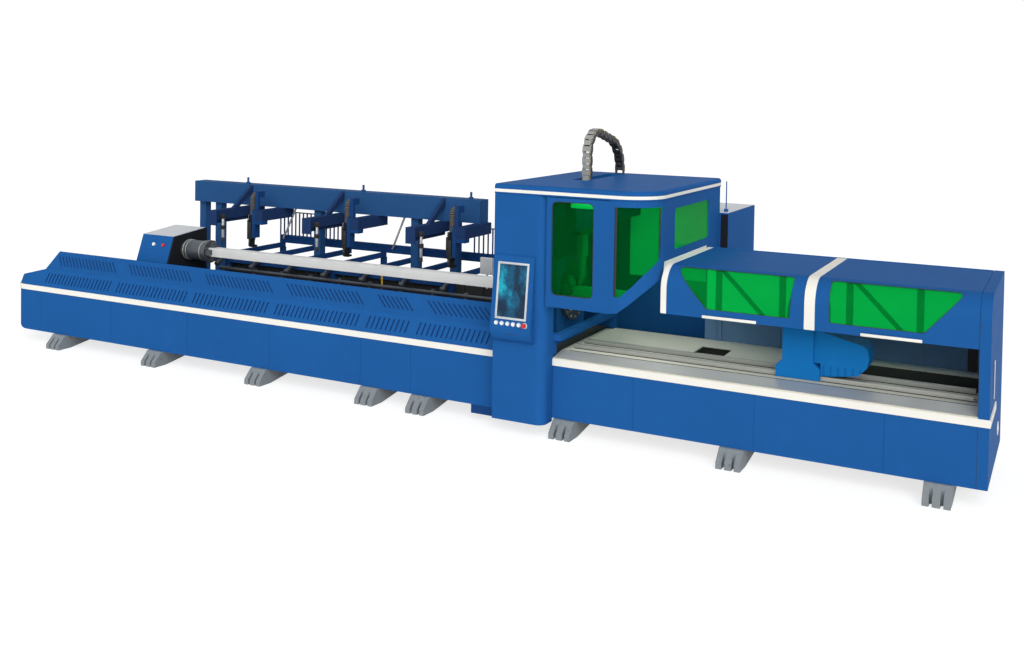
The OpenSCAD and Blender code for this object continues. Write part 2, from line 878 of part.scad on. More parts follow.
// Leaning body of the rim, set in by a distance: a flat face that runs on round the corner
module rim_body(inset, run) {
  translate([nose_x + nose_r, nose_r, bed_z]) cylinder(r1 = nose_r - inset, r2 = nose_r - fold_y - inset,
    h = fold_h);
  along_x(nose_x + nose_r, run - feed_len) polygon([[inset, bed_z], [fold_y + inset, bed_z + fold_h],
    [nose_r + run, bed_z + fold_h], [nose_r + run, bed_z]]);
}

// Rim that carries the guard's lower face round the loose end and falls toward its tip
module nose_rim() intersection() {
  difference() {
    rim_body(0, 0);
    rim_body(guard_t, over);
  }
  along_y(0, nose_r) polygon([[nose_x, bed_z], [nose_x, bed_z + rim_tip], [nose_x + rim_run, bed_z + rim_h],
    [-feed_len, bed_z + fold_h], [-feed_len, bed_z]]);
}

// Row of leaning vent slots between two panel seams
module vents(z, w, l, tilt) {
  edge = vent_edge + l / 2 * abs(sin(tilt));
  for (i = [0 : len(panel_shares) - 2]) {
    x0 = (panel_shares[i] - 1) * feed_len + edge;
    x1 = (panel_shares[i + 1] - 1) * feed_len - edge;
    n = floor((x1 - x0) / vent_step);
    for (k = [0 : n]) translate([x0 + k * (x1 - x0) / n, z]) rotate(tilt) square([w, l], center = true);
  }
}

module feed_guard() color(blue) place() difference() {
  along_x(-feed_len, 0) polygon([[0, bed_z], [fold_y, bed_z + fold_h], [guard_y, bed_z + guard_h],
    [guard_y + guard_t, bed_z + guard_h], [fold_y + guard_t, bed_z + fold_h],
    [2 * guard_t, bed_z + guard_t], [guard_foot, bed_z + guard_t], [guard_foot, bed_z]]);
  along_y(-over, fold_y + guard_t) vents(bed_z + fold_h / 2, vent_w, vent_l, -vent_tilt);
  along_y(fold_y, guard_y + guard_t) vents(bed_z + (fold_h + guard_h) / 2, vent_up_w, vent_up_l,
    vent_up_tilt);
}

module trim_strips() color(white) place() {
  block([-feed_len, 0], [-strip_t, 0], [bed_z - strip_h, bed_z]);
  translate([0, 0, bed_z - strip_h]) linear_extrude(height = strip_h) difference() {
    nose_2d(-strip_t, 0);
    nose_2d(0, over);
    translate([x_left - over, bed_d]) square([feed_len, 2 * strip_t]);
  }
  block([unload_x, x_right], [-strip_t, 0], [bed_z - strip_h, bed_z]);
  block([x_right - strip_t, x_right], [0, strip_turn], [bed_z - strip_h, bed_z]);
  translate([0, 0, cab_top - top_strip_h]) linear_extrude(height = top_strip_h) difference() {
    cabin_2d(-top_strip_t, 0, cab_back);
    cabin_2d(0, -over, cab_back + over);
  }
}

// One foot with its toe toward the front
module foot() difference() {
  along_x(0, foot_w) polygon([[-foot_reach, 0], [-foot_reach, toe_h], [-toe_h / 2, skirt_z],
    [foot_back, skirt_z], [foot_back, toe_h], [toe_h, 0]]);
  for (k = [-1, 1]) translate([foot_w / 2 + k * slot_off - slot_w / 2, -foot_reach - over, -over])
    cube([slot_w, slot_d + over, skirt_z]);
}

module feet() color(grey) place() {
  for (x = concat([for (s = feed_foot_shares) (s - 1) * feed_len],
    [for (s = right_foot_shares) s * right_len])) {
    translate([x, 0, 0]) foot();
    translate([x, bed_d, 0]) mirror([0, 1, 0]) foot();
  }
}

module linear_rails() color(steel) place() {
  for (y = [rail_y, bed_d - rail_y - rail_w])
    block([-feed_len + rail_end, -rail_end], [y, y + rail_w], [bed_z, bed_z + rail_h]);
  for (y = [out_rail_y, out_rail_y + out_rail_step])
    block([unload_x + rail_end, right_len - rail_end], [y, y + rail_w], [table_z, table_z + rail_h]);
}

module carriage_base() color(grey) place() difference() {
  block([-car_x - car_len - face_t, -car_x], [rail_y - base_lap, bed_d - rail_y + base_lap],
    [car_base_z - rail_h / 2, car_cover_z]);
  block([-car_x - 2 * car_len, car_len - car_x], [rail_y + rail_w + base_lap,
    bed_d - rail_y - rail_w - base_lap],
    [bed_z, car_base_z]);
  for (y = [rail_y, bed_d - rail_y - rail_w])
    block([-car_x - 2 * car_len, car_len - car_x], [y - run_gap, y + rail_w + run_gap],
      [bed_z, bed_z + rail_h + run_gap]);
}

// Outline of the carriage cover in y and z
module cover_2d() polygon([[car_y, car_cover_z], [car_y, bed_z + car_lean_z], [car_y + car_lean,
  bed_z + car_front_h],
  [car_y + car_d, bed_z + car_h], [car_y + car_d, car_cover_z]]);

// Axes of the carriage's button field
module car_button(k) on_lean(-car_x - face_t - car_btn_edge - k * car_btn_step, car_y + car_lean,
  bed_z + car_front_h, lean_angle) translate([0, -car_btn_drop, 0]) children();

module carriage_cover() color(blue) place() difference() {
  along_x(-car_x - face_t - car_len, -car_x - face_t) cover_2d();
  spindle(spindle_r + run_gap, -car_x - spindle_len - 2 * run_gap, over - car_x);
  for (k = [0, 1]) car_button(k) translate([0, 0, -btn_sink]) cylinder(r = car_btn_r + run_gap,
    h = btn_sink + over);
}

module carriage_face() color(black) place() difference() {
  along_x(-car_x - face_t, -car_x) cover_2d();
  spindle(spindle_r + run_gap, -car_x - face_t - over, over - car_x);
}

module carriage_button() color(white) place() car_button(1) translate([0, 0, -btn_sink / 2])
  cylinder(r = car_btn_r, h = btn_sink / 2 + car_btn_h);

module carriage_stop() color(red) place() car_button(0) translate([0, 0, -btn_sink / 2])
  cylinder(r = car_btn_r, h = btn_sink / 2 + car_btn_h);

// Four jaws or rollers round the tube
module jaws(x0, x1, gap, w, h) {
  for (a = [0 : 90 : 270]) translate([x0, axis_y, axis_z]) rotate([a, 0, 0])
    translate([0, -w / 2, tube_w / 2 + gap]) cube([x1 - x0, w, h]);
}

module rear_chuck() color(grey) place() {
  spindle(spindle_r, -car_x - spindle_len, chuck_x);
  spindle(chuck_r, chuck_x, flange_x);
  spindle(flange_r, flange_x, flange_x + flange_t);
  jaws(flange_x + flange_t, flange_x + flange_t + jaw_len, 0, jaw_w, jaw_h);
}

module sample_tube() color(steel) place() {
  x0 = flange_x + flange_t;
  difference() {
    block([x0, x0 + tube_len], [axis_y - tube_w / 2, axis_y + tube_w / 2], [axis_z - tube_w / 2,
      axis_z + tube_w / 2]);
    block([x0 - over, x0 + tube_len + over], [axis_y - tube_w / 2 + tube_t, axis_y + tube_w / 2 - tube_t],
      [axis_z - tube_w / 2 + tube_t, axis_z + tube_w / 2 - tube_t]);
  }
}

// One tube support: ram, fork and roller
module support_lift(s) color(black) place() translate([(s - 1) * feed_len, axis_y, 0]) {
  top = bed_z - fork_drop;
  translate([0, 0, guide_z + 2 * guide_t]) cylinder(r = guide_r - guide_t - run_gap,
    h = top - fork_t - guide_z - 2 * guide_t);
  difference() {
    block([-fork_t, fork_t], [-fork_w / 2, fork_w / 2], [top - fork_t, top + roller_r]);
    block([-fork_t - over, fork_t + over], [-roller_l / 2 - run_gap, roller_l / 2 + run_gap], [top,
      top + 2 * roller_r]);
  }
  translate([0, -fork_w / 2 + over, top + run_gap]) rotate([-90, 0, 0]) intersection() {
    cylinder(r = roller_r / 2, h = fork_w - 2 * over);
    translate([-roller_r, -roller_r, 0]) cube([2 * roller_r, roller_r, fork_w]);
  }
  translate([0, -roller_l / 2, top + run_gap]) rotate([-90, 0, 0]) cylinder(r = roller_r, h = roller_l);
}

module support_lift_1() support_lift(lift_shares[0]);
module support_lift_2() support_lift(lift_shares[1]);
module support_lift_3() support_lift(lift_shares[2]);

module cabin_column() color(blue) place() translate([0, 0,
  col_z]) linear_extrude(height = cab_top - col_z) {
  translate([0, -cab_reach]) square([col_w - col_r, cab_reach + skirt_t]);
  translate([0, col_r - cab_reach]) square([col_w, cab_reach + skirt_t - col_r]);
  translate([col_w - col_r, col_r - cab_reach]) circle(r = col_r);
}

module cabin_back() color(blue) place() difference() {
  union() {
    block([0, wall_t], [skirt_t, cab_back], [table_low, cab_top]);
    block([0, wall_t], [bed_d, cab_back], [cab_low_z, table_low]);
    block([0, cab_w], [cab_back - wall_t, cab_back], [cab_low_z, cab_top]);
  }
  spindle(port_r, -over, wall_t + over);
}

module cabin_roof() color(blue) place() difference() {
  intersection() {
    translate([0, 0, cab_top]) linear_extrude(height = roof_t) cabin_2d(-top_strip_t, 0, cab_back);
    along_x(-over, cab_w + cab_r) union() {
      translate([-cab_reach - top_strip_t, cab_top]) square([cab_back + cab_reach + top_strip_t,
        roof_t - roof_r]);
      translate([roof_r - cab_reach - top_strip_t, cab_top])
        square([cab_back + cab_reach + top_strip_t - roof_r, roof_t]);
      translate([roof_r - cab_reach - top_strip_t, cab_z - roof_r]) circle(r = roof_r);
    }
    along_y(-cab_r - cab_reach, cab_back + over) union() {
      translate([0, cab_top]) square([cab_w + top_strip_t, roof_t - roof_r]);
      translate([0, cab_top]) square([cab_w + top_strip_t - roof_r, roof_t]);
      translate([cab_w + top_strip_t - roof_r, cab_z - roof_r]) circle(r = roof_r);
    }
  }
  block([slot_x, slot_x + slot_wide], [slot_y, slot_y + slot_len], [cab_top - over, cab_z + over]);
}

// Outline of the corner window in x and z
function turn_win() = let (x0 = turn_win_x, w = cab_w - strip_t / 2 - turn_win_x)
  concat([for (s = turn_win_shares) [x0 + s[0] * w, win_z + pane_lap + s[1] * turn_win_rise]],
  [[x0 + w, turn_win_top], [x0, turn_win_top]]);

module side_win(d) translate([side_win_y - d, side_win_z - d])
  soft_square([side_win_w + 2 * d, side_win_h + 2 * d], win_r);

module cabin_side() color(blue) place() {
  difference() {
    union() {
      translate([0, 0, door_z]) linear_extrude(height = cab_top - door_z) difference() {
        cabin_2d(0, col_w, cab_back - wall_t);
        cabin_2d(wall_t, col_w - over, cab_back);
      }
      block([cab_w - wall_t, cab_w], [bed_d, cab_back - wall_t], [cab_low_z, side_z]);
    }
    block([col_w - over, door_x + door_gap], [-cab_reach - over, 0], [door_z - over, door_top + door_gap]);
    along_y(-cab_reach - over, cab_r) polygon(concat([[door_x, door_z - over]],
      [for (s = turn_shares) [door_x + s[0] * (cab_w - door_x), door_z + s[1] * (side_z - door_z)]],
      [[cab_w + over, side_z], [cab_w + over, door_z - over]]));
    block([cab_w - 2 * wall_t, cab_w + over], [cab_r - cab_reach - over, bed_d], [door_z - over, side_z]);
    along_y(-cab_reach - over, cab_r) polygon(turn_win());
    along_x(cab_w - 2 * wall_t, cab_w + over) side_win(0);
  }
  block([col_w, door_x + door_gap], [wall_t / 2 - cab_reach, stop_y + wall_t],
    [door_top + door_gap, cab_top]);
  block([col_w, door_x + door_gap], [stop_y, stop_y + wall_t], [stop_z, cab_top]);
}

module cabin_door() color(blue) place() {
  difference() {
    block([col_w + door_gap, door_x], [-cab_reach, door_t - cab_reach], [door_z, door_top]);
    along_y(-cab_reach - over, over + door_t - cab_reach) translate([win_x, win_z])
      soft_square([win_w, win_h], win_r);
  }
  block([door_x, door_x + door_gap / 2], [-cab_reach, 2 * pin_r - cab_reach], [door_z, door_top]);
  translate([door_x + door_gap / 2, pin_r - cab_reach, door_z]) cylinder(r = pin_r, h = door_top - door_z);
}

module door_window() color(green) place() along_y(door_t - cab_reach, door_t + pane_t - cab_reach)
  translate([win_x - pane_lap, win_z - pane_lap])
  soft_square([win_w + 2 * pane_lap, win_h + 2 * pane_lap], win_r);

module cabin_windows() color(green) place() {
  intersection() {
    translate([0, 0, door_z]) linear_extrude(height = cab_top - door_z) difference() {
      cabin_2d(wall_t, door_x + 2 * door_gap, cab_r);
      cabin_2d(wall_t + pane_t, door_x, cab_r + over);
    }
    along_y(-cab_reach, cab_r) polygon([for (q = turn_win()) q +
      [q[0] > turn_win_x + pane_lap ? 0 : -pane_lap / 2,
        q[1] > turn_win_top - pane_lap ? pane_lap : -pane_lap]]);
  }
  along_x(cab_w - wall_t - pane_t, cab_w - wall_t) side_win(pane_lap);
}

// Axes of the operator panel's leaning face, from the middle of its lip's edge
module on_panel(x, up) on_lean(hmi_x + hmi_w / 2 + x, -cab_reach - hmi_low_d, hmi_z + hmi_lip, hmi_angle)
  translate([0, up, 0]) children();

module hmi_housing() color(blue) place() difference() {
  along_x(hmi_x, hmi_x + hmi_w) polygon(concat([[-cab_reach, hmi_z], [-cab_reach, hmi_z + hmi_h],
    [-cab_reach - hmi_top_d, hmi_z + hmi_h]], [for (a = [0 : 15 : 75])
    [-cab_reach - hmi_low_d * cos(a), hmi_z + hmi_lip - hmi_lip * sin(a)]]));
  on_panel(-screen_w / 2, screen_up) translate([0, 0, screen_out - screen_t]) cube([screen_w, screen_h,
    screen_t]);
  for (k = [0 : 4]) on_panel((k - 2.5) * btn_step, btn_up) translate([0, 0, -btn_sink])
    cylinder(r = btn_r / 2 + run_gap, h = btn_sink + over);
  on_panel(2.5 * btn_step, btn_up) translate([0, 0, -btn_sink]) cylinder(r = stop_r / 2 + run_gap,
    h = btn_sink + over);
}

module hmi_screen() color(black) place() on_panel(-screen_w / 2, screen_up) translate([0, 0,
  screen_out - screen_t])
  cube([screen_w, screen_h, screen_t]);

// Push button: a stem in the housing and a head in front of it
module press(k, r, h) on_panel((k - 2.5) * btn_step, btn_up) {
  translate([0, 0, -btn_sink / 2]) cylinder(r = r / 2, h = btn_sink / 2 + h);
  translate([0, 0, h / 2]) cylinder(r = r, h = h / 2);
}

module emergency_stop() color(red) place() press(5, stop_r, stop_h);
module push_button_1() color(white) place() press(0, btn_r, btn_h);
module push_button_2() color(white) place() press(1, btn_r, btn_h);
module push_button_3() color(white) place() press(2, btn_r, btn_h);
module push_button_4() color(white) place() press(3, btn_r, btn_h);
module push_button_5() color(white) place() press(4, btn_r, btn_h);

// Pin of the chain, at a distance along its middle line from its rear end
function chain_pin(d) =
  let (a = d - chain_rise, b = a - rear_arc, c = b - chain_run, e = c - front_arc)
  let (rear = [chain_rear - bend_rear, cab_z + chain_up], front = [chain_y + bend_front, cab_z + chain_top])
  a < 0 ? [chain_rear, cab_z + link_r + d] :
  b < 0 ? rear + on_arc(bend_rear, chain_turn * a / rear_arc) :
  c < 0 ? rear + on_arc(bend_rear, chain_turn) + on_arc(b, 180 - chain_fall) :
  e < 0 ? front + on_arc(bend_front, chain_turn + (180 - chain_turn) * c / front_arc) :
  [chain_y, cab_z + chain_top - e];
function on_arc(r, a) = r * [cos(a), sin(a)];

// Link between two pins: two side plates and two cross pieces
module link(a, b, inset) {
  l = norm(b - a);
  x0 = chain_x + inset;
  x1 = chain_x + chain_w - inset;
  translate([0, a[0], a[1]]) rotate([atan2(b[1] - a[1], b[0] - a[0]), 0, 0]) {
    for (x = [x0, x1 - plate_t]) along_x(x, x + plate_t) {
      translate([0, -link_r]) square([l, 2 * link_r]);
      circle(r = link_r);
      translate([l, 0]) circle(r = link_r);
    }
    for (z = [-chain_t / 2, chain_t / 2 - cross_t])
      block([x0, x1], [l * cross_shares[0], l * cross_shares[1]], [z, z + cross_t]);
    block([x0, x1], [l * lid_shares[0], l * lid_shares[1]], [-chain_t / 2 - lid_t, -chain_t / 2]);
  }
}

// Chain of outer and inner links that stands on the roof and hangs into its slot
module energy_chain() color(black) place() {
  for (k = [0 : links - 1]) link(chain_pin(k * pitch), chain_pin((k + 1) * pitch),
    k % 2 == 0 ? 0 : plate_t + run_gap);
  block([chain_x, chain_x + chain_w], [chain_rear - link_r, chain_rear + link_r], [cab_z, cab_z + cross_t]);
}

module head_beam() color(deep_blue) place() {
  block([head_beam_x, head_beam_x + head_beam_w], [head_beam_y, cab_back - wall_t],
    [head_beam_z, head_beam_z + head_beam_h]);
  block([head_beam_x, head_beam_x + head_beam_w], [head_beam_y, head_beam_y + head_beam_w],
    [head_beam_z + head_beam_h, cab_top]);
}

module head_carriage() color(grey) place() {
  y0 = axis_y - head_d / 2;
  z0 = head_beam_z - head_h / 3;
  difference() {
    block([head_x, head_x + head_w], [y0, y0 + head_d], [z0, z0 + head_h]);
    block([head_mid - ram_w / 2 - run_gap, head_mid + ram_w / 2 + run_gap],
      [axis_y - ram_d / 2 - run_gap, axis_y + ram_d / 2 + run_gap], [z0 - over, z0 + head_h + over]);
  }
  block([head_x + head_w, head_beam_x - run_gap], [y0, y0 + head_d], [head_beam_z,
    head_beam_z + head_beam_h]);
}

module head_slide() color(steel) place() {
  top = tip_z + cone_h + cut_h;
  translate([head_mid, axis_y, tip_z]) cylinder(r1 = tip_r, r2 = cut_r / 2, h = cone_h);
  translate([head_mid, axis_y, tip_z + cone_h]) cylinder(r = cut_r, h = cut_h);
  block([head_mid - ram_w / 2, head_mid + ram_w / 2], [axis_y - ram_d / 2, axis_y + ram_d / 2],
    [top, top + ram_h]);
}

module front_chuck_housing() color(blue) place() difference() {
  block([front_x, front_x + front_t], [axis_y - front_w / 2, axis_y + front_w / 2], [table_low,
    axis_z + front_up]);
  spindle(rotor_r + run_gap, front_x - over, front_x + front_t + over);
}

// Hollow chuck with four rollers round the tube
module hollow_chuck(r, b, x0, x1) {
  difference() {
    spindle(r, x0, x1);
    spindle(b, x0 - over, x1 + over);
  }
  intersection() {
    jaws(x0, x1, grip_gap, grip_w, b);
    spindle(b + over, x0, x1);
  }
}

module front_chuck_rotor() color(grey) place()
  hollow_chuck(rotor_r, bore_r, front_x - rotor_out, front_x + front_t + rotor_out);

module cross_rail() color(blue) place() {
  block([unload_x, unload_x + cross_w], [skirt_t, wall_y], [cross_z, cross_z + cross_h]);
  block([unload_x, unload_x + cross_w], [wall_y, wall_y + cross_w], [table_low, cross_z + cross_h]);
  block([unload_x - cross_w, unload_x], [skirt_t, skirt_t + cross_w], [table_low, cross_z + cross_h]);
}

module unload_frame() color(deep_blue) place() difference() {
  along_x(0, right_len) polygon([[skirt_t, skirt_z], [bed_d, skirt_z], [bed_d, table_low], [apron_d,
    table_low],
    [skirt_t, bed_z]]);
  block([unload_x + cross_w, right_len - end_t], [hole_y, hole_y + chan_d], [skirt_z + web_h, table_z]);
}

module unload_skirt() color(blue) place() difference() {
  block([unload_x, right_len], [0, skirt_t], [skirt_z, bed_z]);
  for (s = out_panel_shares) translate([unload_x + s * (right_len - unload_x), 0, 0])
    block([-seam_w / 2, seam_w / 2], [-over, seam_t], [skirt_z - over, bed_z + over]);
}

module unload_table() color(beige) place() difference() {
  along_x(unload_x, right_len) polygon([[0, bed_z], [skirt_t, bed_z], [apron_d, table_low], [wall_y,
    table_low],
    [wall_y, table_z], [apron_d, table_z], [0, bed_z + table_t]]);
  block([hole_x, hole_x + hole_w], [hole_y, hole_y + hole_d], [table_low - over, table_z + over]);
  block([chan_x, right_len - end_t], [hole_y, hole_y + chan_d], [table_low - over, table_z + over]);
  block([unload_x - over, unload_x + cross_w], [wall_y - cross_w, wall_y + over], [table_low - over,
    table_z + over]);
}

module rear_wall() color(deep_blue) place() {
  span = right_len - hood_x;
  block([cab_w + wall_t, right_len], [wall_y, wall_y + rear_t], [table_low, wall_top]);
  for (c = rib_shares) translate([hood_x + c * span, 0, 0]) difference() {
    block([0, rib_w], [wall_y - rib_t, wall_y], [table_z, wall_top]);
    block([(rib_w - rib_cut) / 2, (rib_w + rib_cut) / 2], [wall_y - rib_t - over, wall_y - rib_t / 2],
      [table_z - over, wall_top + over]);
  }
  for (c = stay_shares) along_y(wall_y - rib_t, wall_y) translate([hood_x + c * span, 0])
    polygon([[0, stay_top], [rib_w, stay_top], [stay_len + rib_w, stay_low], [stay_len, stay_low]]);
}

module end_panel() color(blue) place() along_x(right_len, right_len + end_w) hood_2d(0, skirt_z, bed_d);

// Window outline of a hood in x and z
function hood_win(x, l, shares) = [for (s = shares) [x + s[0] * l, pane_z + s[1] * (pane_top - pane_z)]];

module hood(x, l, shares) difference() {
  along_x(x, x + l) difference() {
    hood_2d(0, hood_z, hood_rear);
    hood_2d(hood_t, hood_z - over, hood_rear + over);
  }
  along_y(-over, hood_r) polygon(soften(hood_win(x, l, shares), win_r / 2));
}

// Hinge barrel along a hood's rear edge
module barrel(x, l) translate([x, hood_rear, hood_top - hood_t / 2]) rotate([0, 90, 0])
  cylinder(r = hinge_r, h = l);

module hood_pane(x, l, shares) intersection() {
  along_x(x, x + l) difference() {
    hood_2d(hood_t, hood_z, hood_r + over);
    hood_2d(hood_t + pane_t, hood_z - over, hood_r + 2 * over);
  }
  along_y(0, hood_r) polygon(grow(hood_win(x, l, shares), pane_lap / 2));
}

module hood_1() color(blue) place() {
  hood(hood_x, hood_1_len, pane_1_shares);
  barrel(hood_x, hood_1_len);
}

module hood_1_window() color(green) place() hood_pane(hood_x, hood_1_len, pane_1_shares);
module hood_2() color(blue) place() {
  hood(hood_2_x, hood_2_len, pane_2_shares);
  barrel(hood_2_x, hood_2_len);
}

module hood_2_window() color(green) place() hood_pane(hood_2_x, hood_2_len, pane_2_shares);

module unload_carriage() color(blue) place() {
  z0 = table_z + out_gap;
  x0 = out_x + (out_w - out_neck_w) / 2;
  x1 = x0 + out_neck_w;
  difference() {
    union() {
      along_y(out_y, out_y + out_d) polygon([[out_x, z0], [out_x, z0 + out_base_h],
        [x0, z0 + out_base_h + out_neck_h], [x0, axis_z], [x1, axis_z],
        [x1, z0 + out_base_h + out_neck_h], [out_x + out_w, z0 + out_base_h], [out_x + out_w, z0]]);
      spindle(ring_r, x0, x1);
    }
    spindle(out_rotor_r + run_gap, x0 - over, x1 + over);
    for (y = [out_rail_y, out_rail_y + out_rail_step])
      block([out_x - over, out_x + out_w + over], [y - run_gap, y + rail_w + run_gap],
        [table_z, table_z + rail_h + run_gap]);
  }
  difference() {
    along_y(tray_y, tray_y + ski_d) polygon([for (s = ski_shares)
      [x1 + s[0] * ski_len, z0 + rail_h + s[1] * ski_h]]);
    block([x1 - over, out_x + out_w], [0, bed_d], [z0, z0 + out_base_h + out_neck_h]);
    spindle(out_rotor_r + out_gap, x1 - over, x1 + out_rotor_out + out_gap);
    for (k = [1 : ski_n]) translate([x1 + k * ski_len * ski_shares[2][0] / ski_n + ski_groove,
      tray_y - over, z0])
      cube([ski_groove, ski_cut + over, ski_h / 3]);
  }
}

module unload_rotor() color(grey) place() {
  x0 = out_x + (out_w - out_neck_w) / 2;
  hollow_chuck(out_rotor_r, bore_r, x0 - out_rotor_out, x0 + out_neck_w + out_rotor_out);
}

module electrical_cabinet() color(blue) place() {
  block([elec_x - elec_w, elec_x], [cab_back, cab_back + elec_d], [elec_plinth, elec_z]);
  block([elec_x - elec_w + elec_inset, elec_x - elec_inset],
    [cab_back + elec_inset, cab_back + elec_d - elec_inset], [0, elec_plinth]);
  translate([elec_x - rod_edge, cab_back + 2 * rod_edge, elec_z]) {
    cylinder(r = rod_foot_r, h = rod_foot_h);
    translate([0, 0, rod_foot_h]) cylinder(r = rod_r, h = rod_h);
  }
}

module loader_frame() color(blue) place() {
  block([-load_x, load_len - load_x], [load_y, load_y + load_d], [load_z, load_z + load_h]);
  for (s = post_shares) translate([s * load_len - load_x, 0, 0]) {
    block([0, post_w], [load_y + (load_d - post_w) / 2, load_y + (load_d + post_w) / 2], [skid_h, load_z]);
    block([0, post_w], [bed_d + tie_t, skid_end], [0, skid_h]);
    block([0, post_w], [bed_d, bed_d + tie_t], [0, tie_h]);
  }
  for (s = eye_shares) translate([s * load_len - load_x, load_y + load_d / 2, load_z + load_h]) {
    cylinder(r = 2 * eye_r, h = eye_h / 3);
    translate([0, 0, eye_h / 3]) cylinder(r = eye_r, h = eye_h);
  }
}

module loader_arms() color(blue) place() for (k = [0 : 2]) translate([k * arm_step - arm_x, 0, 0]) {
  z0 = load_z - arm_h;
  block([-arm_w / 2, arm_w / 2], [arm_y, load_y + load_d], [z0, load_z]);
  block([-arm_w / 2 - arm_lap, arm_w / 2 + arm_lap], [arm_y - arm_plate, arm_y],
    [z0 - 2 * air_r - arm_lap, load_z]);
  translate([0, arm_y, z0 - air_r * air_share]) rotate([-90, 0, 0]) cylinder(r = air_r,
    h = load_y - arm_y);
  along_x(-brace_w / 2, brace_w / 2) polygon([[load_y, load_z + load_h], [load_y,
    load_z + load_h - 2 * brace_w],
    [load_y - load_h, load_z], [load_y - load_h - 2 * brace_w, load_z]]);
  block([lane_x, lane_x + lane_w], [lane_y, lane_y + lane_len], [load_z - lane_h, load_z]);
}

// Column that runs along a trolley beam
module loader_trolley(k) color(deep_blue) place() translate([k * arm_step - arm_x + lane_x, trol_y,
  load_z]) {
  block([-run_gap - trol_w, -run_gap], [-trol_d / 2, trol_d / 2], [-trol_h, -run_gap]);
  block([-run_gap, lane_w], [-trol_d / 2, trol_d / 2], [-lane_h - run_gap - trol_w, -lane_h - run_gap]);
  block([-run_gap - trol_w, -run_gap], [trol_d / 2 - trol_w, trol_d / 2], [-run_gap, hose_z + hose_box]);
  block([-run_gap - trol_w, -run_gap], [trol_d / 2, hose_back + hose_box], [hose_z - hose_box,
    hose_z + hose_box]);
  block([-grip_body_w - trol_w, -run_gap], [hose_back, hose_back + hose_box], [hose_z - hose_box,
    hose_z + hose_box]);
}

module loader_trolley_1() loader_trolley(0);
module loader_trolley_2() loader_trolley(1);
module loader_trolley_3() loader_trolley(2);

// Gripper that slides down the column's left face
module gripper(k) color(black) place()
  translate([k * arm_step - arm_x + lane_x - trol_w - 2 * run_gap, trol_y, load_z - lane_h / 2]) {
  block([-grip_body_w, 0], [-grip_d / 2, grip_d / 2], [-grip_h, 0]);
  translate([-grip_body_w / 2, 0, 0]) {
    cylinder(r = hose_r, h = hose_h);
    translate([0, hose_bend, hose_h]) rotate([90, 0, -90]) rotate_extrude(angle = 90)
      translate([hose_bend, 0]) circle(r = hose_r);
    translate([0, hose_bend, hose_h + hose_bend]) rotate([-90, 0, 0]) cylinder(r = hose_r, h = hose_end);
  }
  along_x(-grip_body_w, 0) polygon([[0, -grip_h], [-claw_t, -grip_h - claw_h / 2], [-claw_t,
    -grip_h - claw_h],
    [claw_toe, -grip_h - claw_h], [claw_toe, -grip_h - claw_h + claw_t], [claw_t / 2,
      -grip_h - claw_h + claw_t],
    [claw_t / 2, -grip_h - claw_h / 2], [grip_d / 2, -grip_h]]);
}

module gripper_1() gripper(0);
module gripper_2() gripper(1);
module gripper_3() gripper(2);

// Fence of upright bars below a top bar
module fence(x, n) translate([x, back_y, rail_top + run_gap]) {
  for (k = [0 : n - 1]) translate([k * fence_step, 0, 0]) cube([fence_w, fence_w, fence_h]);
  translate([0, 0, fence_h]) cube([(n - 1) * fence_step + fence_w, fence_w, fence_w]);
}

module loader_rack() color(deep_blue) place() translate([-rack_x, 0, 0]) {
  post_x = [0, (rack_len - rack_w) / 2, rack_len - rack_w];
  block([0, rack_len], [rack_y, rack_y + rack_w], [rack_z, bar_z]);
  block([0, rack_x - rail_end], [rack_y + rack_w, rack_y + rack_w + table_t], [bed_z, bar_z]);
  for (x = post_x) {
    block([x, x + rack_w], [rack_y, rack_y + rack_w], [bed_z, rack_z]);
    block([x, x + rack_w], [back_y, back_y + rack_w], [0, bar_z]);
  }
  for (k = [0 : bar_n - 1])
    translate([(rack_w - bar_w) / 2 + k * (rack_len - rack_w) / (bar_n - 1), 0, 0]) {
    block([0, bar_w], [bar_y, back_y + rack_w], [bar_z + run_gap, bar_top]);
    block([0, bar_w], [bar_y, bar_y + stop_d], [bar_top + run_gap, bar_top + stop_up]);
  }
  block([0, rack_len], [back_y, back_y + rack_w], [bar_top + run_gap, rail_top]);
  fence(0, fence_n);
  fence(rack_len - (fence_few - 1) * fence_step - fence_w, fence_few);
}

feed_frame();
feed_skirt();
feed_nose();
feed_guard();
trim_strips();
feet();
linear_rails();
carriage_base();
carriage_cover();
carriage_face();
rear_chuck();
sample_tube();
carriage_button();
carriage_stop();
support_lift_1();
support_lift_2();
support_lift_3();
cabin_column();
cabin_back();
cabin_roof();
cabin_side();
cabin_door();
door_window();
cabin_windows();
hmi_housing();
hmi_screen();
emergency_stop();
push_button_1();
push_button_2();
push_button_3();
push_button_4();
push_button_5();
energy_chain();
head_beam();
head_carriage();
head_slide();
front_chuck_housing();
front_chuck_rotor();
cross_rail();
unload_frame();
unload_skirt();
unload_table();
rear_wall();
end_panel();
hood_1();
hood_1_window();
hood_2();
hood_2_window();
unload_carriage();
unload_rotor();
electrical_cabinet();
loader_frame();
loader_arms();
loader_trolley_1();
loader_trolley_2();
loader_trolley_3();
gripper_1();
gripper_2();
gripper_3();
loader_rack();
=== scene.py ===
"""Looks of a fiber laser tube cutting machine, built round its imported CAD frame."""

import math

import bmesh
import bpy
from bpy.props import FloatProperty, FloatVectorProperty, PointerProperty
from bpy.types import Operator, Panel, PropertyGroup
from mathutils import Matrix, Vector


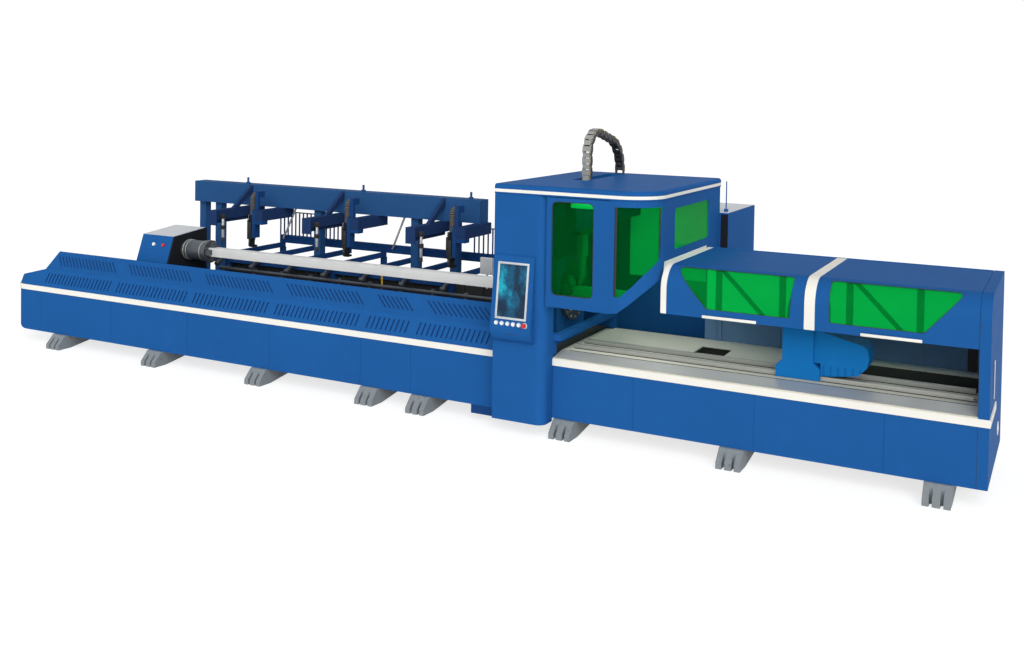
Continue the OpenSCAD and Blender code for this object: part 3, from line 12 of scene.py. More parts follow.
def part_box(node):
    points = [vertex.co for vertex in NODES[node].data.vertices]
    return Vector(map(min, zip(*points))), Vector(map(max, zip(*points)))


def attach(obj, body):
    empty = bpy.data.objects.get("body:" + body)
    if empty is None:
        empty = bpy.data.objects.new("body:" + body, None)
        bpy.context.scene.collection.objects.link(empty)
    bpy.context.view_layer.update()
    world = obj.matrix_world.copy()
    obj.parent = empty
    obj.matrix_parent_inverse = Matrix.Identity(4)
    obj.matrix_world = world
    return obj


bl_info = {
    "name": "Tube laser looks",
    "version": (1, 0, 0),
    "blender": (4, 5, 0),
    "location": "View3D > Sidebar > Tube laser",
    "description": "Finishes, trim and fittings of a tube cutting machine, and its studio",
    "category": "Object",
}

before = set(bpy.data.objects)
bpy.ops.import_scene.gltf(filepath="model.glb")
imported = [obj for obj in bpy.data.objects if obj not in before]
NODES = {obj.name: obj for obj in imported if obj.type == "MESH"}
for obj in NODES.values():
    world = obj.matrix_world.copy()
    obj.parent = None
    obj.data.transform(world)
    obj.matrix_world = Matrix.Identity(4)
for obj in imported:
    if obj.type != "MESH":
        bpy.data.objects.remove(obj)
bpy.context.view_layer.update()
MM = 0.001
# The datum that the sizes below are measured from: cabin's left wall, bed's front skirt, floor
DATUM = Vector((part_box("cabin_column")[0].x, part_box("feed_skirt")[0].y, 0))
AXES = {"x": Vector((1, 0, 0)), "y": Vector((0, 1, 0)), "z": Vector((0, 0, 1))}
SPINDLE_Y = 700
SPINDLE_Z = 1205
STATIONS = (0, 1440, 2880)
# Middle line of the energy chain: legs, bends, slope between them, and its links
CHAIN = {"y": 835, "span": 856, "front": 206, "rear": 346, "fall": 14, "up": 32, "roof": 2300}
LINK = {"x": 433, "w": 88, "pitch": 56, "count": 28, "half": 27}
# Hoods: left end, length, the window's outline in shares of the length and of its height limits
HOODS = {
    "hood_1": (1560, 1238, ((0.095, 1), (0.92, 1), (0.907, 0), (0.33, 0))),
    "hood_2": (2801, 1331, ((0.146, 1), (0.918, 1), (0.7, 0), (0.15, 0))),
}
PANE_LOW, PANE_HIGH = 1310, 1636
# Upper and lower ends of the loader's pale stay rods
STAY_RODS = ((-4013, -4501), (-2376, -2783))
# Hood's section: radius, start of the bend, front lower edge and rear edge
HOOD_R, HOOD_BEND, HOOD_LOW, HOOD_BACK = 210, 1440, 1237, 1350
# Run of the gripper and of the arm at the first station
GRIPPER_X, ARM_X = -4326, -4655
GRIPPER_Y, ARM_ROD_Y = 1490, 1230
# Heights between which the roof strip is painted as the covers are
STRIP_BARE = (2190, 2226)
# Camera: place in metres, turns in degrees, and the picture's shift
CAMERA_AT = (6.087, -10.2919, 3.169)
CAMERA_TURNS = ((27.59, "Z"), (88.5, "X"), (0.91, "Z"))
CAMERA_SHIFT = -0.210
# Lamps: angle that they spread over, in degrees, and the way that they shine
LAMPS = {"front_lamp": (50, (-0.48, 0.68, -0.55)), "low_lamp": (70, (-0.3, 0.93, -0.2))}
FLOOR_REACH, FLOOR_DROP, FLOOR_GLOW = 120, 0.002, 0.74
# Rays that meet the white background in place of the studio's light
SEEN_BY = ("Is Camera Ray", "Is Glossy Ray", "Is Transmission Ray")


def at(x, y, z):
    """Point of the row frame for millimetres from the datum."""
    return DATUM + Vector((x, y, z)) * MM


def linear(red, green, blue):
    """Linear colour of a colour given in 0 to 255."""
    shares = [value / 255 for value in (red, green, blue)]
    return [s / 12.92 if s <= 0.04045 else ((s + 0.055) / 1.055) ** 2.4 for s in shares]


def colour(name, description, value):
    return FloatVectorProperty(
        name=name, description=description, default=linear(*value), size=3, subtype="COLOR", min=0, max=1
    )


def length(name, description, value):
    return FloatProperty(name=name, description=description, default=value * MM, unit="LENGTH", min=0)


class LaserColours(PropertyGroup):
    blue: colour("Blue paint", "Powder coat of the covers", (32, 88, 151))
    # Lighter copy of the blue paint: painted light, making the unloading slide look lit from the front.
    bright: colour("Bright blue paint", "Powder coat of the unloading slide", (24, 108, 176))
    # The deep blue also colours the sheet of painted shade behind the vent slots.
    deep_blue: colour("Deep blue paint", "Powder coat of frames and inner walls", (30, 66, 118))
    white: colour("White trim", "Strips, bands and handles", (236, 233, 224))
    foot: colour("Foot grey", "Paint of the cast feet", (124, 131, 135))
    table: colour("Table sheet", "Rolled sheet of the unloading table", (212, 209, 194))
    green: colour("Window green", "Laser-safe panes", (8, 174, 75))
    chain: colour("Chain grey", "Lids of the energy chain", (150, 151, 146))


class LaserSizes(PropertyGroup):
    band_1: length("First band", "Width of the white band on the first hood", 52)
    band_2: length("Second band", "Width of the white band on the second hood", 86)
    band_out: length("Band thickness", "How far the bands stand proud of the hoods", 2)
    bezel: length("Bezel", "Width of the pale frame round the screen", 20)


class LaserStudio(PropertyGroup):
    sky: FloatProperty(name="Sky", description="Strength of the even light", default=0.38, min=0)
    sun: FloatProperty(name="Sun", description="Strength of the large front lamp", default=1.8, min=0)
    fill: FloatProperty(
        name="Fill", description="Strength of the low lamp under the hoods", default=1.1, min=0
    )
    lens: FloatProperty(
        name="Lens", description="Focal length of the camera", default=38.46, unit="CAMERA"
    )


class Sock:
    """A shader socket that takes part in Python sums."""

    def __init__(self, paint, socket):
        self.paint = paint
        self.socket = socket

    def math(self, operation, other, swap=False):
        pair = (other, self) if swap else (self, other)
        return self.paint.node("ShaderNodeMath", {"operation": operation}, {0: pair[0], 1: pair[1]})

    def __add__(self, other):
        return self.math("ADD", other)

    def __radd__(self, other):
        return self.math("ADD", other, True)

    def __sub__(self, other):
        return self.math("SUBTRACT", other)

    def __rsub__(self, other):
        return self.math("SUBTRACT", other, True)

    def __mul__(self, other):
        return self.math("MULTIPLY", other)

    def __rmul__(self, other):
        return self.math("MULTIPLY", other, True)

    def __gt__(self, other):
        return self.math("GREATER_THAN", other)


class Paint:
    """One material's node tree round its Principled shader."""

    def __init__(self, name, **constants):
        self.material = bpy.data.materials.new(name)
        self.material.use_nodes = True
        self.tree = self.material.node_tree
        self.shader = self.tree.nodes["Principled BSDF"]
        for socket, value in constants.items():
            self.shader.inputs[socket.replace("_", " ")].default_value = value

    def node(self, kind, settings=None, inputs=None, out=0):
        made = self.tree.nodes.new(kind)
        for key, value in (settings or {}).items():
            if key == "stops":
                ramp = made.color_ramp.elements
                while len(ramp) < len(value):
                    ramp.new(1)
                for stop, (place, tint) in zip(ramp, value):
                    stop.position = place
                    stop.color = (*tint, 1)
            else:
                setattr(made, key, value)
        for key, value in (inputs or {}).items():
            self.feed(made.inputs[key], value)
        return Sock(self, made.outputs[out])

    def feed(self, socket, value):
        if isinstance(value, Sock):
            self.tree.links.new(value.socket, socket)
        else:
            socket.default_value = value

    def set(self, **inputs):
        for key, value in inputs.items():
            self.feed(self.shader.inputs[key.replace("_", " ")], value)
        return self

    def place(self, scale=(1, 1, 1)):
        """Object coordinates, stretched along the axes."""
        here = self.node("ShaderNodeTexCoord", out=3)
        return self.node("ShaderNodeMapping", None, {"Vector": here, "Scale": scale})

    def noise(self, scale, detail=3, stretch=(1, 1, 1), rough=0.5):
        return self.node(
            "ShaderNodeTexNoise",
            None,
            {"Vector": self.place(stretch), "Scale": scale, "Detail": detail, "Roughness": rough},
        )

    def ramp(self, value, *stops):
        return self.node("ShaderNodeValToRGB", {"stops": stops}, {0: value})

    def mix(self, share, a, b):
        a = a if isinstance(a, Sock) else (*a, 1)
        b = b if isinstance(b, Sock) else (*b, 1)
        return self.node("ShaderNodeMix", {"data_type": "RGBA"}, {0: share, 6: a, 7: b}, out=2)

    def bump(self, height, strength, distance):
        inputs = {"Height": height, "Strength": strength, "Distance": distance}
        return self.node("ShaderNodeBump", None, inputs)


def shade(value, factor):
    return [min(1, v * factor) for v in value]


def powder_coat(name, value, gloss=0.4):
    """Painted sheet: faint cloudiness, rubbed spots, orange peel."""
    paint = Paint(name, Specular_IOR_Level=0.006)
    cloud = paint.noise(1.3, 4)
    speck = paint.noise(160, 2)
    tone = paint.mix(cloud, shade(value, 0.93), shade(value, 1.07))
    rub = paint.noise(7, 5)
    worn = paint.ramp(rub, (0.55, (0, 0, 0)), (0.8, (0.12, 0.12, 0.12)))
    return paint.set(
        Base_Color=paint.mix(worn, tone, shade(value, 1.5)),
        Roughness=gloss + 0.1 * rub + 0.03 * speck,
        Normal=paint.bump(speck, 0.06, 0.0015),
    ).material


def bare_metal(name, value, gloss, stretch, metal=1.0, grain=70):
    """Drawn, rolled or turned metal with streaks along its making."""
    paint = Paint(name)
    streak = paint.noise(grain, 4, stretch)
    stain = paint.noise(3.1, 4)
    tone = paint.mix(streak, shade(value, 0.84), shade(value, 1.12))
    dull = paint.ramp(stain, (0.5, (0, 0, 0)), (0.78, (0.35, 0.35, 0.35)))
    return paint.set(
        Base_Color=paint.mix(dull, tone, shade(value, 0.72)),
        Roughness=gloss + 0.16 * stain,
        Metallic=metal,
        Normal=paint.bump(streak, 0.1, 0.001),
    ).material


def trim_paint(name, value, ground, low, high):
    """White strip paint that stops at a height range, where the ground colour shows."""
    paint = Paint(name, Specular_IOR_Level=0.006)
    spot = paint.node("ShaderNodeTexCoord", out=3)
    height = paint.node("ShaderNodeSeparateXYZ", None, {0: spot}, out=2)
    bare = (height > low * MM) * (1 - (height > high * MM))
    cloud = paint.noise(1.6, 4)
    speck = paint.noise(160, 2)
    tone = paint.mix(cloud, shade(value, 0.95), shade(value, 1.04))
    return paint.set(
        Base_Color=paint.mix(bare, tone, ground),
        Roughness=0.42 + 0.1 * cloud,
        Normal=paint.bump(speck, 0.06, 0.0015),
    ).material


def moulded(name, value, gloss, grain=240):
    """Plastic or rubber with a fine moulded grain."""
    paint = Paint(name)
    grit = paint.noise(grain, 2)
    wear = paint.noise(9, 4)
    return paint.set(
        Base_Color=paint.mix(wear, shade(value, 0.85), shade(value, 1.15)),
        Roughness=gloss + 0.12 * wear,
        Normal=paint.bump(grit, 0.12, 0.001),
    ).material


def cast_foot(name, value):
    """Primed casting: coarse skin, chips toward bare grey."""
    paint = Paint(name)
    skin = paint.noise(55, 5)
    tone = paint.mix(skin, shade(value, 0.82), shade(value, 1.12))
    chip = paint.ramp(paint.noise(23, 6, rough=0.7), (0.6, (0, 0, 0)), (0.68, (1, 1, 1)))
    return paint.set(
        Base_Color=paint.mix(chip, tone, shade(value, 0.5)),
        Roughness=0.5 + 0.2 * skin,
        Normal=paint.bump(skin, 0.35, 0.004),
    ).material


def safety_pane(name, value, clear):
    """Tinted acrylic: a share of the light passes, the rest scatters green."""
    paint = Paint(name, Transmission_Weight=clear, IOR=1.04, Specular_IOR_Level=0.0)
    haze = paint.noise(1.7, 3)
    return paint.set(
        Base_Color=paint.mix(haze, shade(value, 0.9), shade(value, 1.1)),
        Roughness=0.015 + 0.03 * haze,
    ).material


def lit_screen(name):
    """Display with a dark ground and a drift of cyan light."""
    paint = Paint(name, Roughness=0.12, Emission_Strength=0.9, Specular_IOR_Level=0.12)
    cloud = paint.noise(4.2, 5, (1, 1, 0.8), 0.62)
    glow = paint.ramp(
        cloud, (0.38, linear(6, 40, 66)), (0.5, linear(6, 98, 136)), (0.62, linear(24, 196, 214))
    )
    return paint.set(Base_Color=(0.01, 0.014, 0.02, 1), Emission_Color=glow).material


def lit_diffuser(name, strength):
    """Opal sheet that glows, slightly uneven: a work light, or a panel of painted light behind a window.
    """
    paint = Paint(name, Roughness=0.6, Emission_Strength=strength)
    cloud = paint.noise(1.1, 2)
    return paint.set(
        Base_Color=(0.8, 0.82, 0.8, 1),
        Emission_Color=paint.mix(cloud, (0.88, 0.88, 0.84), (1, 1, 0.96)),
    ).material


def chain_links(name, lid, side):
    """Dark moulded links whose outer lids are pale."""
    paint = Paint(name)
    spot = paint.node("ShaderNodeTexCoord", out=3)
    facing = paint.node("ShaderNodeTexCoord", out=1)
    middle = at(0, CHAIN["y"] + CHAIN["span"] * 0.43, CHAIN["roof"] + CHAIN["up"])
    away = paint.node("ShaderNodeVectorMath", {"operation": "SUBTRACT"}, {0: spot, 1: middle})
    flat = paint.node("ShaderNodeVectorMath", {"operation": "MULTIPLY"}, {0: away, 1: (0, 1, 1)})
    outward = paint.node("ShaderNodeVectorMath", {"operation": "NORMALIZE"}, {0: flat})
    lids = paint.node(
        "ShaderNodeVectorMath", {"operation": "DOT_PRODUCT"}, {0: facing, 1: outward}, out=1
    )
    wear = paint.noise(14, 4)
    tone = paint.mix(wear, shade(lid, 0.8), shade(lid, 1.15))
    grit = paint.noise(220, 2)
    return paint.set(
        Base_Color=paint.mix(lids > 0.4, side, tone),
        Roughness=0.5 + 0.15 * wear,
        Normal=paint.bump(grit, 0.12, 0.001),
    ).material


PAINTS = {}


def mix_paints(colours):
    PAINTS.update(
        blue=powder_coat("blue_powder_coat", colours.blue),
        deep_blue=powder_coat("deep_blue_coat_and_slot_shade", colours.deep_blue, 0.44),
        wall=powder_coat("rear_wall_paint", linear(98, 126, 162), 0.5),
        beam=powder_coat("loader_blue_paint", linear(42, 82, 130), 0.42),
        navy=powder_coat("loader_navy_paint", linear(36, 58, 98), 0.45),
        bright=powder_coat("painted_lit_blue_coat", colours.bright, 0.4),
        white=powder_coat("white_trim_paint", colours.white, 0.42),
        strip=trim_paint("white_strip_paint", colours.white, colours.blue, *STRIP_BARE),
        foot=cast_foot("cast_foot_grey", colours.foot),
        table=bare_metal("rolled_table_sheet", colours.table, 0.5, (0.12, 3, 3), 0.0, 26),
        apron=bare_metal("brushed_apron", linear(194, 195, 193), 0.3, (0.1, 4, 4), 0.45, 30),
        tube=bare_metal("drawn_tube", linear(226, 227, 226), 0.4, (0.05, 6, 6), 0.35),
        rail=bare_metal("ground_rail", linear(172, 172, 166), 0.34, (0.05, 8, 8), 0.45),
        chuck=bare_metal("turned_chuck", linear(86, 92, 99), 0.4, (9, 1, 1), 0.6),
        cover=bare_metal("brushed_cover", linear(196, 200, 204), 0.42, (0.6, 5, 5), 0.2),
        black=powder_coat("black_paint", linear(34, 36, 40), 0.45),
        trough=powder_coat("trough_grey_paint", linear(74, 76, 73), 0.5),
        # Dark rubber for seals, grips and valves, also used for the strips, sheet and corner boxes of
        # painted shade.
        dark=moulded("dark_rubber_and_painted_shade", linear(24, 25, 27), 0.62),
        chain=chain_links("chain_moulding", colours.chain, linear(38, 39, 40)),
        hose=moulded("hose_rubber", linear(92, 88, 82), 0.6),
        yellow=moulded("yellow_mark", linear(206, 164, 26), 0.4),
        button=moulded("button_white", linear(232, 234, 236), 0.25),
        red=moulded("button_red", linear(196, 30, 36), 0.25),
        green=safety_pane("green_safety_pane", colours.green, 0.7),
        cabin_green=safety_pane("cabin_safety_pane", colours.green, 0.93),
        # The hood and cabin diffuser panels glow as painted light seen through the windows; the cabin's
        # bar and ceiling glow as its work lights.
        glow=lit_diffuser("painted_glow_and_lamp_diffuser", 0.85),
        cabin_glow=lit_diffuser("painted_cabin_glow_diffuser", 0.22),
        lamp=lit_diffuser("cabin_lamp_diffuser", 4.0),
        screen=lit_screen("operator_display"),
    )


NODE_PAINTS = {
    "wall": "rear_wall",
    "beam": "loader_frame",
    "navy": "loader_arms",
    "deep_blue": "feed_frame head_beam loader_rack "
    "loader_trolley_1 loader_trolley_2 loader_trolley_3",
    # The unloading slide gets the lighter copy of the blue, painted light.
    "bright": "unload_carriage",
    "strip": "trim_strips",
    "foot": "feet",
    "rail": "linear_rails head_slide",
    "tube": "sample_tube",
    "chuck": "rear_chuck front_chuck_rotor unload_rotor carriage_base head_carriage",
    "trough": "unload_frame",
    "black": "carriage_face gripper_1 gripper_2 gripper_3 support_lift_1 support_lift_2 support_lift_3",
    "button": "carriage_button push_button_1 push_button_2 push_button_3 push_button_4 push_button_5",
    "red": "carriage_stop emergency_stop",
    "green": "hood_1_window hood_2_window",
    "cabin_green": "door_window cabin_windows",
    "table": "unload_table",
    "chain": "energy_chain",
    "screen": "hmi_screen",
}


class Shape:
    """One piece's mesh, drawn in millimetres from the datum with bmesh operators."""

    def __init__(self):
        self.bm = bmesh.new()

    def bevel(self, edges, width, steps=2):
        bmesh.ops.bevel(
            self.bm, geom=edges, offset=width, offset_type="OFFSET", segments=steps,
            profile=0.5, affect="EDGES", material=-1, clamp_overlap=True,
        )

    def soften(self, verts, width, steps=2):
        self.bevel(list({edge for vert in verts for edge in vert.link_edges}), width, steps)

    def block(self, place, size, soft=0, steps=2):
        """Block of a size whose middle and turn a matrix gives."""
        made = bmesh.ops.create_cube(self.bm, size=1, matrix=place @ Matrix.Diagonal((*size, 1)))
        if soft:
            self.soften(made["verts"], soft, steps)
        return self

    def box(self, xs, ys, zs, soft=0):
        """Block between limits along the axes."""
        middle = Vector([(a + b) / 2 for a, b in (xs, ys, zs)])
        return self.block(Matrix.Translation(middle), [b - a for a, b in (xs, ys, zs)], soft)

    def rod(self, a, b, r, r2=None, sides=20, soft=0):
        """Round bar between two points, with a second radius where it tapers."""
        a, b = Vector(a), Vector(b)
        turn = (b - a).to_track_quat("Z", "Y").to_matrix().to_4x4()
        made = bmesh.ops.create_cone(
            self.bm, cap_ends=True, segments=sides, radius1=r, radius2=r if r2 is None else r2,
            depth=(b - a).length, matrix=Matrix.Translation((a + b) / 2) @ turn,
        )
        if soft:
            caps = [f for f in {f for v in made["verts"] for f in v.link_faces} if len(f.verts) > 4]
            self.bevel(list({edge for face in caps for edge in face.edges}), soft)
        return self

    def sheet(self, points, axis, start, end, soft=0):
        """Closed outline in the plane across an axis, pulled along it."""
        first, second = [k for k in "xyz" if k != axis]
        ring = []
        for u, v in points:
            spot = {first: u, second: v, axis: start}
            ring.append(self.bm.verts.new((spot["x"], spot["y"], spot["z"])))
        face = self.bm.faces.new(ring)
        pulled = bmesh.ops.extrude_face_region(self.bm, geom=[face])
        moved = [g for g in pulled["geom"] if isinstance(g, bmesh.types.BMVert)]
        bmesh.ops.translate(self.bm, verts=moved, vec=AXES[axis] * (end - start))
        open_edges = [e for v in ring for e in v.link_edges if e.is_boundary]
        bmesh.ops.holes_fill(self.bm, edges=list(set(open_edges)))
        if soft:
            self.soften(ring + moved, soft)
        return self

    def hose(self, points, r, sides=12, step=0):
        """Round section swept along points; a step gives it corrugations."""
        path = [Vector(p) for p in points]
        rings = []
        for k, spot in enumerate(path):
            ahead = path[min(k + 1, len(path) - 1)] - path[max(k - 1, 0)]
            turn = ahead.to_track_quat("Z", "Y").to_matrix().to_4x4()
            radius = r - step * (k % 2)
            made = bmesh.ops.create_circle(
                self.bm, segments=sides, radius=radius, cap_ends=k in (0, len(path) - 1),
                matrix=Matrix.Translation(spot) @ turn,
            )
            rings.append(made["verts"])
        for a, b in zip(rings, rings[1:]):
            edges = [e for ring in (a, b) for e in {e for v in ring for e in v.link_edges}
                     if e.verts[0] in ring and e.verts[1] in ring]
            bmesh.ops.bridge_loops(self.bm, edges=edges)
        return self

    def done(self, name, body, paint, slot, smooth=False):
        bm = self.bm
        bmesh.ops.remove_doubles(bm, verts=bm.verts, dist=1e-4)
        bmesh.ops.recalc_face_normals(bm, faces=bm.faces)
        bmesh.ops.transform(bm, matrix=Matrix.Translation(DATUM) @ Matrix.Scale(MM, 4), verts=bm.verts)
        mesh = bpy.data.meshes.new(name)
        bm.to_mesh(mesh)
        bm.free()
        if smooth:
            mesh.shade_smooth()
            mesh.set_sharp_from_angle(angle=math.radians(38))
        mesh.materials.append(PAINTS[paint])
        piece = bpy.data.objects.new(name, mesh)
        bpy.context.scene.collection.objects.link(piece)
        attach(piece, body)


def closed(points):
    """Outline points with the first two again, for a sweep that closes."""
    return [*points, points[0], points[1]]


def rounded(corners, cut):
    """Outline with every corner cut into a short bend."""
    turned = []
    for k, corner in enumerate(corners):
        here = Vector(corner)
        for other in (corners[k - 1], corners[(k + 1) % len(corners)]):
            turned.append(here + (Vector(other) - here).normalized() * cut)
        turned.insert(-1, (turned[-1] + turned[-2]) / 4 + here / 2)
    return turned


def dense(points, step):
    """The same path with points no further apart than a step."""
    path = []
    for a, b in zip(points, points[1:]):
        count = max(1, math.ceil((b - a).length / step))
        path += [a.lerp(b, k / count) for k in range(count)]
    return [*path, points[-1]]


def hood_front(z):
    """Depth of a hood's outer face at a height."""
    rise = max(0, min(z - HOOD_BEND, HOOD_R))
    return HOOD_R - math.sqrt(HOOD_R ** 2 - rise ** 2)


def arc(centre, r, start, end, steps):
    """Points of an arc, angles in degrees."""
    turn = [math.radians(start + (end - start) * k / steps) for k in range(steps + 1)]
    return [(centre[0] + r * math.cos(a), centre[1] + r * math.sin(a)) for a in turn]


class LASER_OT_finishes(Operator):
    """Give every CAD node its paint, metal, plastic or glass"""

    bl_idname = "laser.finishes"
    bl_label = "Finishes"

    def execute(self, context):
        mix_paints(context.scene.laser_colours)
        chosen = {node: paint for paint, names in NODE_PAINTS.items() for node in names.split()}
        for node, piece in NODES.items():
            piece.data.materials.clear()
            piece.data.materials.append(PAINTS[chosen.get(node, "blue")])
        return {"FINISHED"}


class LASER_OT_hood_trim(Operator):
    """White bands, handles and pane seals of the two hoods"""

    bl_idname = "laser.hood_trim"
    bl_label = "Hood trim"

    def execute(self, context):
        sizes = context.scene.laser_sizes
        out = sizes.band_out / MM
        centre, top = (HOOD_R, HOOD_BEND), HOOD_BEND + HOOD_R
        outer = [(-out, HOOD_LOW)] + arc(centre, HOOD_R + out, 180, 90, 20) + [(HOOD_BACK, top + out)]
        inner = [(HOOD_BACK, top)] + arc(centre, HOOD_R, 90, 180, 20) + [(0, HOOD_LOW)]
        for hood, width, grip in (
            ("hood_1", sizes.band_1 / MM, (1941, 2409)),
            ("hood_2", sizes.band_2 / MM, (3253, 3722)),
        ):
            start, span, shares = HOODS[hood]
            band = Shape().sheet(outer + inner, "x", start, start + width)
            band.done(hood + "_band", hood, "white", "white_strip", True)
            handle = Shape()
            handle.box(grip, (-24, -8), (1238, 1262), 5)
            for x in (grip[0] + 30, grip[1] - 30):
                handle.rod((x, -10, 1250), (x, 1, 1250), 8, sides=12)
            handle.done(hood + "_handle", hood, "white", "white_strip", True)
            corners = [(start + a * span, PANE_LOW + b * (PANE_HIGH - PANE_LOW)) for a, b in shares]
            rim = dense([Vector(v) for v in closed(rounded(corners, 24))], 40)
            seal = Shape().hose([(u, hood_front(z) + 6, z) for u, z in rim], 4, 8)
            seal.done(hood + "_seal", hood, "dark", "black_paint", True)
        return {"FINISHED"}


class LASER_OT_operator_panel(Operator):
    """Pale bezel, button collars and lower grip of the operator panel"""

    bl_idname = "laser.operator_panel"
    bl_label = "Operator panel"

    def execute(self, context):
        bezel = context.scene.laser_sizes.bezel / MM
        lean = math.atan(72 / 660)
        foot = Vector((220, -270, 988))
        up = Vector((0, math.sin(lean), math.cos(lean)))
        out = Vector((0, -math.cos(lean), math.sin(lean)))

        def on_panel(x, rise, proud):
            return foot + AXES["x"] * x + up * rise + out * proud

        def bar(shape, xs, rises, prouds, soft=0):
            size = [b - a for a, b in (xs, rises, prouds)]
            middle = on_panel(*[(a + b) / 2 for a, b in (xs, rises, prouds)])
            turn = Matrix((AXES["x"], up, out)).transposed().to_4x4()
            shape.block(Matrix.Translation(middle) @ turn, size, soft)

        rim = Shape()
        low, high, side = 105, 585, 140
        for xs, rises in (
            ((-side - bezel, side + bezel), (high, high + bezel)),
            ((-side - bezel, side + bezel), (low - bezel, low)),
            ((-side - bezel, -side), (low, high)),
            ((side, side + bezel), (low, high)),
        ):
            bar(rim, xs, rises, (0, 9), 3)
        rim.done("screen_bezel", "base", "cover", "machined_grey", True)
        collars = Shape()
        for k in range(6):
            x = (k - 2.5) * 58
            r = 21 if k < 5 else 28
            collars.rod(on_panel(x, 46, 0), on_panel(x, 46, 3), r, r - 3, 24)
        collars.done("button_collars", "base", "cover", "machined_grey", True)
        grip = Shape()
        bar(grip, (-62, 62), (-52, -36), (-24, -12), 4)
        grip.done("lip_grip", "base", "dark", "black_paint", True)
        return {"FINISHED"}


class LASER_OT_energy_chain(Operator):
    """Yellow marks along the outer edge of the energy chain"""

    bl_idname = "laser.energy_chain"
    bl_label = "Energy chain"

    def execute(self, context):
        marks = Shape()
        pins = [self.pin(k * LINK["pitch"]) for k in range(LINK["count"] + 1)]
        for k, (a, b) in enumerate(zip(pins, pins[1:])):
            side = 0 if k % 2 == 0 else 8.5
            along = (b - a).normalized()
            outward = AXES["x"].cross(along) * -1
            middle = (a + b) / 2 + outward * 23
            middle.x = LINK["x"] + LINK["w"] - side
            turn = Matrix((AXES["x"], along, outward)).transposed().to_4x4()
            marks.block(Matrix.Translation(middle) @ turn, (2, LINK["pitch"] * 0.44, 7), 0.6, 1)
        marks.done("chain_marks", "base", "yellow", "chain_plastic")
        return {"FINISHED"}

    @staticmethod
    def pin(run):
        """Pin of the chain at a distance from its rear end."""
        front, rear, fall = CHAIN["front"], CHAIN["rear"], math.radians(CHAIN["fall"])
        turn = math.pi / 2 - fall
        slope = (CHAIN["span"] - front - rear + (rear - front) * math.cos(turn)) / math.cos(fall)
        top = CHAIN["roof"] + CHAIN["up"] + (rear - front) * math.sin(turn) + slope * math.sin(fall)
        last = Vector((0, CHAIN["y"] + CHAIN["span"], CHAIN["roof"] + CHAIN["up"]))

        def around(r, angle):
            return Vector((0, r * math.cos(angle), r * math.sin(angle)))

        run -= CHAIN["up"] - LINK["half"]
        if run < 0:
            return last + AXES["z"] * run
        if run < rear * turn:
            return last - AXES["y"] * rear + around(rear, run / rear)
        run -= rear * turn
        if run < slope:
            return last - AXES["y"] * rear + around(rear, turn) + around(run, math.pi - fall)
        run -= slope
        first = Vector((0, CHAIN["y"], top))
        if run < front * (math.pi - turn):
            return first + AXES["y"] * front + around(front, turn + run / front)
        return first - AXES["z"] * (run - front * (math.pi - turn))


class LASER_OT_cabin_trim(Operator):
    """Window seals and the cabinet's dark front and grey top"""

    bl_idname = "laser.cabin_trim"
    bl_label = "Cabin trim"

    def execute(self, context):
        corners = [(585, 1330), (989, 1330), (989, 2168), (585, 2168)]
        rim = dense([Vector(v) for v in closed(rounded(corners, 46))], 60)
        seal = Shape().hose([(x, -181, z) for x, z in rim], 4.5, 8)
        seal.done("door_seal", "cabin_door", "dark", "black_paint", True)
        posts = Shape()
        posts.box((1190, 1212), (-182, -175), (1370, 2153), 2)
        posts.rod((1518, 66, 1700), (1518, 66, 2146), 8, sides=12, soft=1)
        posts.done("corner_seals", "base", "dark", "black_paint", True)
        front = Shape()
        front.box((1548, 1622), (1790, 1794), (74, 1932), 1)
        for z in range(300, 1800, 300):
            front.box((1552, 1618), (1788, 1791), (z, z + 6), 1)
        front.done("cabinet_front", "base", "black", "black_paint")
        top = Shape()
        top.box((729, 1621), (1799, 2785), (1944, 1949), 2)
        top.box((745, 1500), (1900, 2700), (1948, 1952), 2)
        top.done("cabinet_top", "base", "cover", "machined_grey")
        return {"FINISHED"}


class LASER_OT_linings(Operator):
    """Deep blue sheet of painted shade behind the vent slots, panels of painted light glowing behind the
    hood windows and the door, and the cabin's work lights
    """

    bl_idname = "laser.linings"
    bl_label = "Linings and work lights"

    def execute(self, context):
        # Deep blue sheet just behind the guard's slots: painted shade, closing them so they read as dark
        # recesses.
        line = [(16, 711), (75, 901), (270, 1081)]
        slot_shade_sheet = Shape().sheet(line + [(y + 3, z) for y, z in reversed(line)], "x", -6312, -3)
        slot_shade_sheet.done("painted_slot_shade", "base", "deep_blue", "deep_blue_paint")
        # Glowing panels behind the hood windows and the door: painted light, standing in for light from
        # behind; they are no lamps of the machine.
        glow = Shape().box((1562, 4130), (1335.5, 1339.7), (1030, 1632), 1)
        glow.done("painted_hood_glow", "base", "glow", "white_strip")
        glow = Shape().box((575, 1500), (1777, 1782.6), (1230, 2200), 2)
        glow.done("painted_cabin_glow_panel", "base", "cabin_glow", "white_strip")
        bar = Shape().box((655, 900), (60, 120), (2092, 2136), 8)
        for x in (690, 860):
            bar.rod((x, 90, 2130), (x, 90, 2254), 9, sides=12)
        bar.done("cabin_lamp", "base", "glow", "white_strip", True)
        panel = Shape().box((720, 1480), (-40, 1100), (2240, 2253), 4)
        panel.done("cabin_ceiling", "base", "lamp", "white_strip", True)
        return {"FINISHED"}


